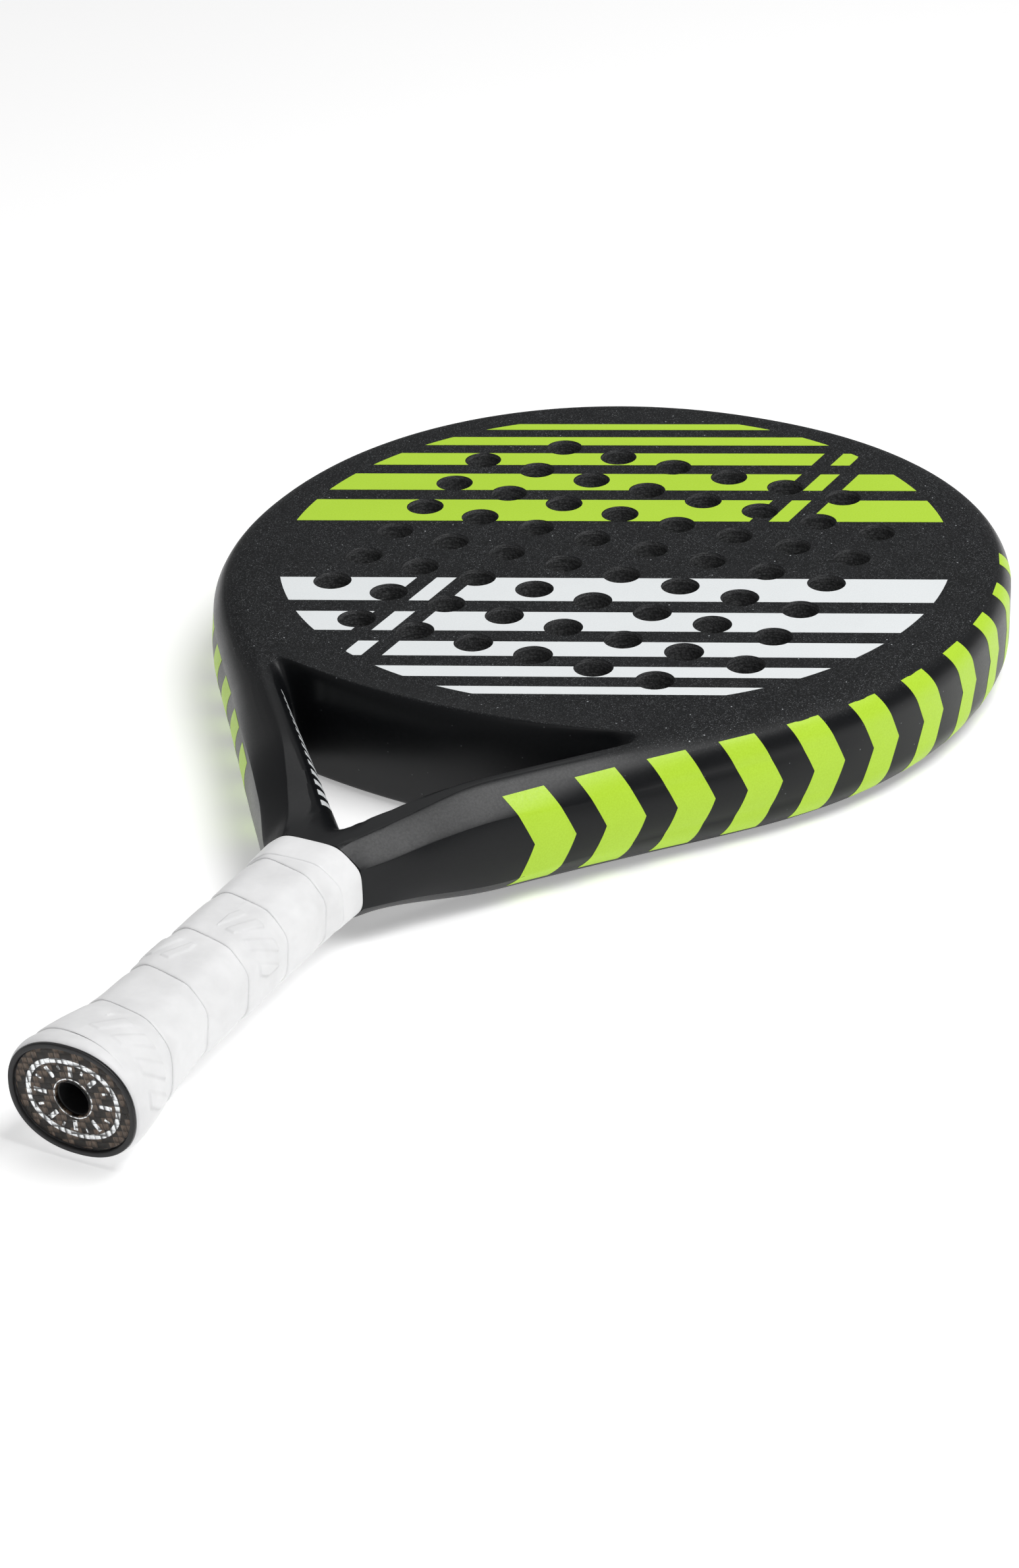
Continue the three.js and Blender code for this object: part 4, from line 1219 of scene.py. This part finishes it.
def lacquer(name):
    """Black lacquer: sanded and full of pale glitter where it looks along Z, smooth satin on the sides."""
    m = Maker(name, (0.006, 0.0065, 0.0075), 0.36, Specular_IOR_Level=0.26)
    facing = m.node("ShaderNodeSeparateXYZ", {"Vector": m.node("ShaderNodeNewGeometry").outputs["Normal"]})
    along = m.node("ShaderNodeSeparateXYZ", {"Vector": m.place})
    on_head = m.ramp(along.outputs["Y"], -0.045, 0.0)
    upright = m.times(m.ramp(m.math("ABSOLUTE", facing.outputs["Z"]), 0.5, 0.99), on_head)
    grain = m.noise(0.7, 4)
    patches = m.noise(9, 3)
    broad = m.noise(38, 3)

    def flakes(size_mm, share, radius):
        """Scattered dots: this share of the cells holds a flake, each with its own brightness."""
        cell = m.cells(size_mm)
        pick = m.node("ShaderNodeSeparateColor", {"Color": cell.outputs["Color"]})
        chosen = m.math("GREATER_THAN", pick.outputs["Red"], 1 - share)
        dot = m.ramp(cell.outputs["Distance"], radius, radius * 0.45)
        return m.times(m.times(chosen, dot), m.ramp(pick.outputs["Green"], 0, 1, 0.2, 1.0))

    dense = m.times(upright, m.ramp(patches, 0.3, 0.7, 0.55, 1.0))
    fine = m.times(flakes(0.48, 0.85, 0.5), m.times(dense, 0.15))
    middle = m.times(flakes(0.7, 0.45, 0.32), m.times(dense, 0.38))
    sparse = m.times(m.ramp(upright, 0, 0.6, 0.35, 1.0), on_head)
    stars = m.times(flakes(2.9, 0.34, 0.11), sparse)
    amount = m.math("MAXIMUM", m.math("MAXIMUM", fine, middle), stars)
    base = m.colours(grain, (0.0035, 0.004, 0.0048), (0.0075, 0.008, 0.0092))
    sanded = m.colours(m.ramp(grain, 0.38, 0.72), (0.0015, 0.002, 0.0024), (0.012, 0.013, 0.015))
    base = m.colours(upright, base, sanded)
    colour = m.colours(amount, base, (0.50, 0.52, 0.54))
    rough = m.plus(m.ramp(upright, 0, 1, 0.34, 0.7), m.ramp(broad, 0.3, 0.7, -0.03, 0.03))
    rough = m.plus(rough, m.ramp(grain, 0.2, 0.8, -0.04, 0.04))
    waves = m.bump(m.noise(16, 2), 0.05, 0.35)
    fine_bump = m.node("ShaderNodeBump", {
        "Height": m.plus(grain, m.times(amount, 0.8)), "Normal": waves,
        "Strength": m.ramp(upright, 0, 1, 0.03, 0.4),
    }, {"Distance": 0.12 / PER_METRE})
    return m.finish(colour, rough, fine_bump.outputs["Normal"])


def ink(name, low, high):
    """Printed ink under the clear coat: even colour, with the lacquer's faint grain."""
    m = Maker(name, high, 0.42, Specular_IOR_Level=0.35)
    grain = m.noise(0.5, 3)
    broad = m.noise(30, 3)
    tone = m.plus(m.ramp(broad, 0.3, 0.7, 0.35, 0.65), m.ramp(grain, 0.3, 0.7, -0.35, 0.35))
    colour = m.colours(tone, low, high)
    roughness = m.ramp(m.noise(0.8, 3), 0.25, 0.75, 0.36, 0.5)
    normal = m.bump(grain, 0.05, 0.25, m.bump(m.noise(16, 2), 0.05, 0.3))
    return m.finish(colour, roughness, normal)


def cut_foam(name, dark, light, cell=0.9):
    """Closed-cell foam as the drill leaves it: torn cells and fine spiral marks."""
    m = Maker(name, light, 0.9, Specular_IOR_Level=0.3)
    cells = m.cells(cell)
    torn = m.noise(0.45, 4)
    squeezed = m.node("ShaderNodeMapping", {"Vector": m.place}, {"Scale": (0.25, 0.25, 2.2)})
    marks = m.noise(1.2, 3, squeezed.outputs["Vector"])
    shade = m.plus(m.times(torn, 0.6), m.times(marks, 0.5))
    shade = m.minus(shade, m.times(cells.outputs["Distance"], 0.35))
    colour = m.colours(m.ramp(shade, 0.2, 0.75), dark, light)
    roughness = m.ramp(torn, 0.3, 0.7, 0.82, 0.98)
    normal = m.bump(shade, 0.35, 0.8)
    return m.finish(colour, roughness, normal)


def soft_tape(name, low, high, rough=0.52):
    """White tacky polymer wrap: tiny pores, soft puckers and a slight change of tone."""
    m = Maker(name, high, rough, Specular_IOR_Level=0.42, Sheen_Weight=0.08, Sheen_Roughness=0.5)
    pores = m.cells(0.7)
    broad = m.noise(14, 3)
    pucker = m.noise(5.5, 4)
    tone = m.plus(m.ramp(broad, 0.3, 0.7, 0.2, 0.8), m.ramp(pucker, 0.3, 0.7, -0.2, 0.2))
    colour = m.colours(tone, low, high)
    roughness = m.ramp(pucker, 0.3, 0.7, rough - 0.07, rough + 0.08)
    first = m.bump(pucker, 0.22, 0.4)
    second = m.bump(m.noise(0.5, 2), 0.03, 0.3, first)
    normal = m.bump(m.ramp(pores.outputs["Distance"], 0.0, 0.35), 0.035, 0.25, second)
    return m.finish(colour, roughness, normal)


def rubber(name):
    m = Maker(name, (0.012, 0.012, 0.013), 0.5, Specular_IOR_Level=0.45)
    grain = m.noise(0.35, 3)
    colour = m.colours(m.noise(4, 3), (0.009, 0.009, 0.010), (0.018, 0.018, 0.019))
    roughness = m.ramp(grain, 0.3, 0.7, 0.42, 0.6)
    normal = m.bump(grain, 0.05, 0.35)
    return m.finish(colour, roughness, normal)


TOW = 1.9


def weave(m):
    """Two-by-two twill in the badge's own plane: which tow is on top, its crown, and its fibres."""
    turned = m.node("ShaderNodeMapping", {"Vector": m.place}, {"Rotation": (0, math.radians(12), 0)})
    axes = m.node("ShaderNodeSeparateXYZ", {"Vector": turned.outputs["Vector"]})
    u = m.times(axes.outputs["X"], PER_METRE / TOW)
    v = m.times(axes.outputs["Z"], PER_METRE / TOW)
    phase = m.math("FLOORED_MODULO", m.minus(m.math("FLOOR", u), m.math("FLOOR", v)), 4.0)
    warp = m.math("LESS_THAN", phase, 1.5)
    weft = m.minus(1.0, warp)

    def crown(value):
        off = m.minus(m.math("FRACT", value), 0.5)
        return m.minus(1.0, m.times(m.times(off, off), 4.0))

    def fibres(stretch):
        along = m.node("ShaderNodeMapping", {"Vector": turned.outputs["Vector"]}, {"Scale": stretch})
        return m.noise(1.5, 3, along.outputs["Vector"])

    height = m.plus(m.times(warp, crown(u)), m.times(weft, crown(v)))
    strands = m.plus(m.times(warp, fibres((9, 1, 1))), m.times(weft, fibres((1, 1, 9))))
    bend = m.plus(m.times(warp, m.math("FRACT", v)), m.times(weft, m.math("FRACT", u)))
    return warp, height, strands, bend


def twill(name):
    """Brown carbon twill: tows one way painted light and the other dark, a painted sheen, and painted shadow
    where the tows are diving under.
    """
    m = Maker(name, (0.14, 0.115, 0.095), 0.4, Specular_IOR_Level=0.15)
    warp, height, strands, bend = weave(m)
    # painted sheen: tows running one way are painted light and the crossing tows dark, with fibre streaks
    # along them
    tow_sheen_and_fibres = m.times(m.plus(m.times(warp, 0.62), 0.10), m.ramp(strands, 0.3, 0.68, 0.35, 1.35))
    colour = m.colours(tow_sheen_and_fibres, (0.006, 0.005, 0.004), (0.27, 0.19, 0.135))
    # painted shadow: colour goes dark between the tows' crowns and where each tow bends under the next
    painted_dive_shade = m.times(m.ramp(height, 0.0, 0.5, 0.25, 1.0), m.ramp(bend, 0.0, 0.7, 0.35, 1.0))
    colour = m.colours(painted_dive_shade, (0.004, 0.0032, 0.0025), colour)
    roughness = m.ramp(strands, 0.3, 0.7, 0.28, 0.5)
    normal = m.bump(strands, 0.06, 0.5, m.bump(height, 0.3, 0.7))
    return m.finish(colour, roughness, normal)


def chrome(name):
    """Silver foil pressed over the twill, its colour painted dark where the weave dips and bends: painted
    shade that breaks up its shine.
    """
    m = Maker(name, (0.86, 0.87, 0.89), 0.16, Metallic=1.0)
    _, height, strands, bend = weave(m)
    # painted shade: the foil's colour darkens where the weave bends down and between the tows' crowns; the
    # fibre streaks added on top are its own grain
    tone = m.times(m.ramp(bend, 0.1, 0.65, 0.1, 1.0), m.ramp(height, 0.0, 0.35, 0.3, 1.0))
    tone = m.plus(tone, m.times(m.minus(strands, 0.5), 0.5))
    colour = m.colours(tone, (0.03, 0.028, 0.026), (0.97, 0.97, 0.96))
    roughness = m.ramp(strands, 0.3, 0.7, 0.14, 0.3)
    normal = m.bump(height, 0.2, 0.5)
    return m.finish(colour, roughness, normal)


def clear_resin(name):
    """Thin clear resin: what lies under it shows through, with a glossy skin over it."""
    m = Maker(name, (1, 1, 1), 0)
    m.tree.nodes.remove(m.shader)
    bump = m.bump(m.noise(20 / 3, 2, roughness=0.5), 0.03, 0.25)
    facing = m.node("ShaderNodeLayerWeight", {"Normal": bump}, {"Blend": 0.5})
    amount = m.plus(m.times(m.math("POWER", facing.outputs["Facing"], 5.0), 0.8), 0.010)
    through = m.node("ShaderNodeBsdfTransparent", (), {"Color": (0.97, 0.975, 0.98, 1)})
    gloss = m.node("ShaderNodeBsdfGlossy", {"Normal": bump}, {"Roughness": 0.07})
    both = m.node("ShaderNodeMixShader", {0: amount, 1: through.outputs[0], 2: gloss.outputs[0]})
    m.tree.links.new(both.outputs[0], m.tree.nodes["Material Output"].inputs["Surface"])
    return m.material


def drawn_steel(name):
    m = Maker(name, (0.6, 0.6, 0.61), 0.3, Metallic=1.0)
    colour = m.colours(m.noise(0.6, 3), (0.5, 0.5, 0.51), (0.7, 0.7, 0.71))
    roughness = m.ramp(m.noise(0.9, 3), 0.3, 0.7, 0.22, 0.4)
    return m.finish(colour, roughness)


LACQUER = lacquer("rough_black_lacquer")
# painted highlight: a paler grey for the top band of each face sheet's hole wall, standing in for its lit rim
HOLE_RIM_HIGHLIGHT = cut_foam("hole_rim_painted_highlight", (0.07, 0.071, 0.073), (0.22, 0.224, 0.23), 0.5)
CORE_FOAM = cut_foam("eva_core_foam", (0.035, 0.036, 0.037), (0.15, 0.152, 0.155))
FILLER_FOAM = cut_foam("filler_foam", (0.5, 0.47, 0.4), (0.75, 0.72, 0.64), 1.4)
PALLET_FOAM = cut_foam("pallet_foam", (0.33, 0.27, 0.18), (0.52, 0.44, 0.32), 0.7)
LIME_INK = ink("lime_ink", (0.46, 0.72, 0.030), (0.52, 0.79, 0.050))
WHITE_INK = ink("white_ink", (0.80, 0.83, 0.84), (0.88, 0.91, 0.92))
GRIP_TAPE = soft_tape("grip_tape_white", (0.79, 0.79, 0.795), (0.88, 0.88, 0.885))
FINISH_TAPE = soft_tape("finish_tape_white", (0.82, 0.82, 0.825), (0.90, 0.90, 0.905), 0.42)
UNDERLAY = cut_foam("cushion_underlay", (0.02, 0.02, 0.021), (0.05, 0.05, 0.052), 0.8)
RUBBER = rubber("cap_rubber")
TWILL = twill("badge_twill")
CHROME = chrome("bezel_chrome")
RESIN = clear_resin("clear_resin")
STEEL = drawn_steel("tack_steel")

# ---- pieces ----
shell, sheet_half, core_half = frame_shell([LACQUER])
place(shell, "carbon_paint", "frame_tube", "throat_bridge", "throat_gusset")
sheet_rim, core_rim = (whole_loop(half, True) for half in (sheet_half, core_half))
place(face_sheet("face_front", sheet_rim, True, [LACQUER, HOLE_RIM_HIGHLIGHT]), "face_paint", "face_sheet_front")
place(face_sheet("face_rear", sheet_rim, False, [LACQUER, HOLE_RIM_HIGHLIGHT]), "face_paint", "face_sheet_rear")
core_levels = [(z, HOLE_RADIUS) for z in np.linspace(DEPTH - SHEET_THICK, SHEET_THICK, 6)]
core = drilled_plate("core_block", core_rim, core_levels, [CORE_FOAM], [0] * 5, 30)
place(core, "eva_foam", "core_foam")
for front in (True, False):
    end = "front" if front else "rear"
    place(face_print("print_lime_" + end, 1, front, LIME_INK), "face_paint")
    place(face_print("print_white_" + end, -1, front, WHITE_INK), "face_paint")
for side in (1, -1):
    hand = "right" if side > 0 else "left"
    place(side_print("print_side_" + hand, side, LIME_INK), "carbon_paint")
    place(arm_print("print_arm_" + hand, side, WHITE_INK), "carbon_paint")
place(grip_tape(GRIP_TAPE), "grip_white", "grip_tape")
place(underlay_wrap(UNDERLAY), "underlay", "grip_base")
place(finish_band(FINISH_TAPE), "finish_white", "finishing_tape")
place(butt_cap(RUBBER), "cap_rubber", "butt_cap")
place(cord_bush(RUBBER), "cap_rubber", "cord_bush")
place(badge_plate(TWILL), "badge_twill", "badge_disc")
place(emblem(CHROME), "chrome_trim", "badge_emblem")
place(badge_dome(RESIN), "clear_resin", "badge_dome")

inner_finishes = {
    "frame_foam": FILLER_FOAM, "bridge_foam": FILLER_FOAM, "handle_core": PALLET_FOAM,
    "pallet_front": PALLET_FOAM, "pallet_rear": PALLET_FOAM,
    "cap_tack_front": STEEL, "cap_tack_rear": STEEL,
}
for name, material in inner_finishes.items():
    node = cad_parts[name]
    node.data.materials.clear()
    node.data.materials.append(material)


# ---- studio ----
CAMERA_AT = Vector((487.99, -880.87, 554.08)) / PER_METRE
CAMERA_RIGHT = Vector((0.88695, 0.46089, -0.03006))
CAMERA_UP = Vector((-0.19919, 0.44042, 0.87542))
CAMERA_LENS = 84.18
CAMERA_AHEAD = Vector((-0.41671, 0.77046, -0.48243))


def add_camera():
    data = bpy.data.cameras.new("camera")
    data.lens = CAMERA_LENS
    data.sensor_width = 36
    data.clip_start, data.clip_end = 0.05, 50
    camera = add_object("camera", data)
    camera.matrix_world = Matrix((CAMERA_RIGHT, CAMERA_UP, -CAMERA_AHEAD)).transposed().to_4x4()
    camera.location = CAMERA_AT
    bpy.context.scene.camera = camera


def add_light(name, at, target, size, power):
    data = bpy.data.lights.new(name, "AREA")
    data.shape = "RECTANGLE"
    data.size, data.size_y = size
    data.energy = power
    light = add_object(name, data)
    light.location = at
    light.rotation_mode = "QUATERNION"
    light.rotation_quaternion = (Vector(target) - Vector(at)).to_track_quat("-Z", "Y")


FLOOR_GAP = 0.4
FLOOR_GLOW = 0.34
WORLD_LIGHT = 0.2


def add_floor():
    axis = np.linspace(-6, 6, 9)
    mesh = bpy.data.meshes.new("floor")
    mesh.from_pydata([(x, y, 0) for y in axis for x in axis], [], grid_quads(len(axis), len(axis)))
    m = Maker("floor_white", (0.9, 0.9, 0.9), 0.7, Emission_Color=(1, 1, 1, 1), Emission_Strength=FLOOR_GLOW)
    colour = m.colours(m.noise(400, 2), (0.88, 0.88, 0.88), (0.92, 0.92, 0.92))
    mesh.materials.append(m.finish(colour))
    floor = add_object("floor", mesh)
    floor.location.z = -FLOOR_GAP / PER_METRE


def add_world():
    world = bpy.data.worlds.new("studio")
    world.use_nodes = True
    background = world.node_tree.nodes["Background"]
    background.inputs["Color"].default_value = (1, 1, 1, 1)
    background.inputs["Strength"].default_value = WORLD_LIGHT
    bpy.context.scene.world = world


add_camera()
add_floor()
add_world()
add_light("key", (0.72, 0.05, 1.6), (0, 0, 0), (1.05, 0.9), 24)
add_light("front", (0.1, -1.5, 1.2), (0, 0, 0), (0.8, 0.8), 2)
add_light("back", (-0.7, 1.3, 1.6), (0, 0.05, 0), (1.4, 0.7), 4)
bpy.context.scene.view_settings.view_transform = "Standard"
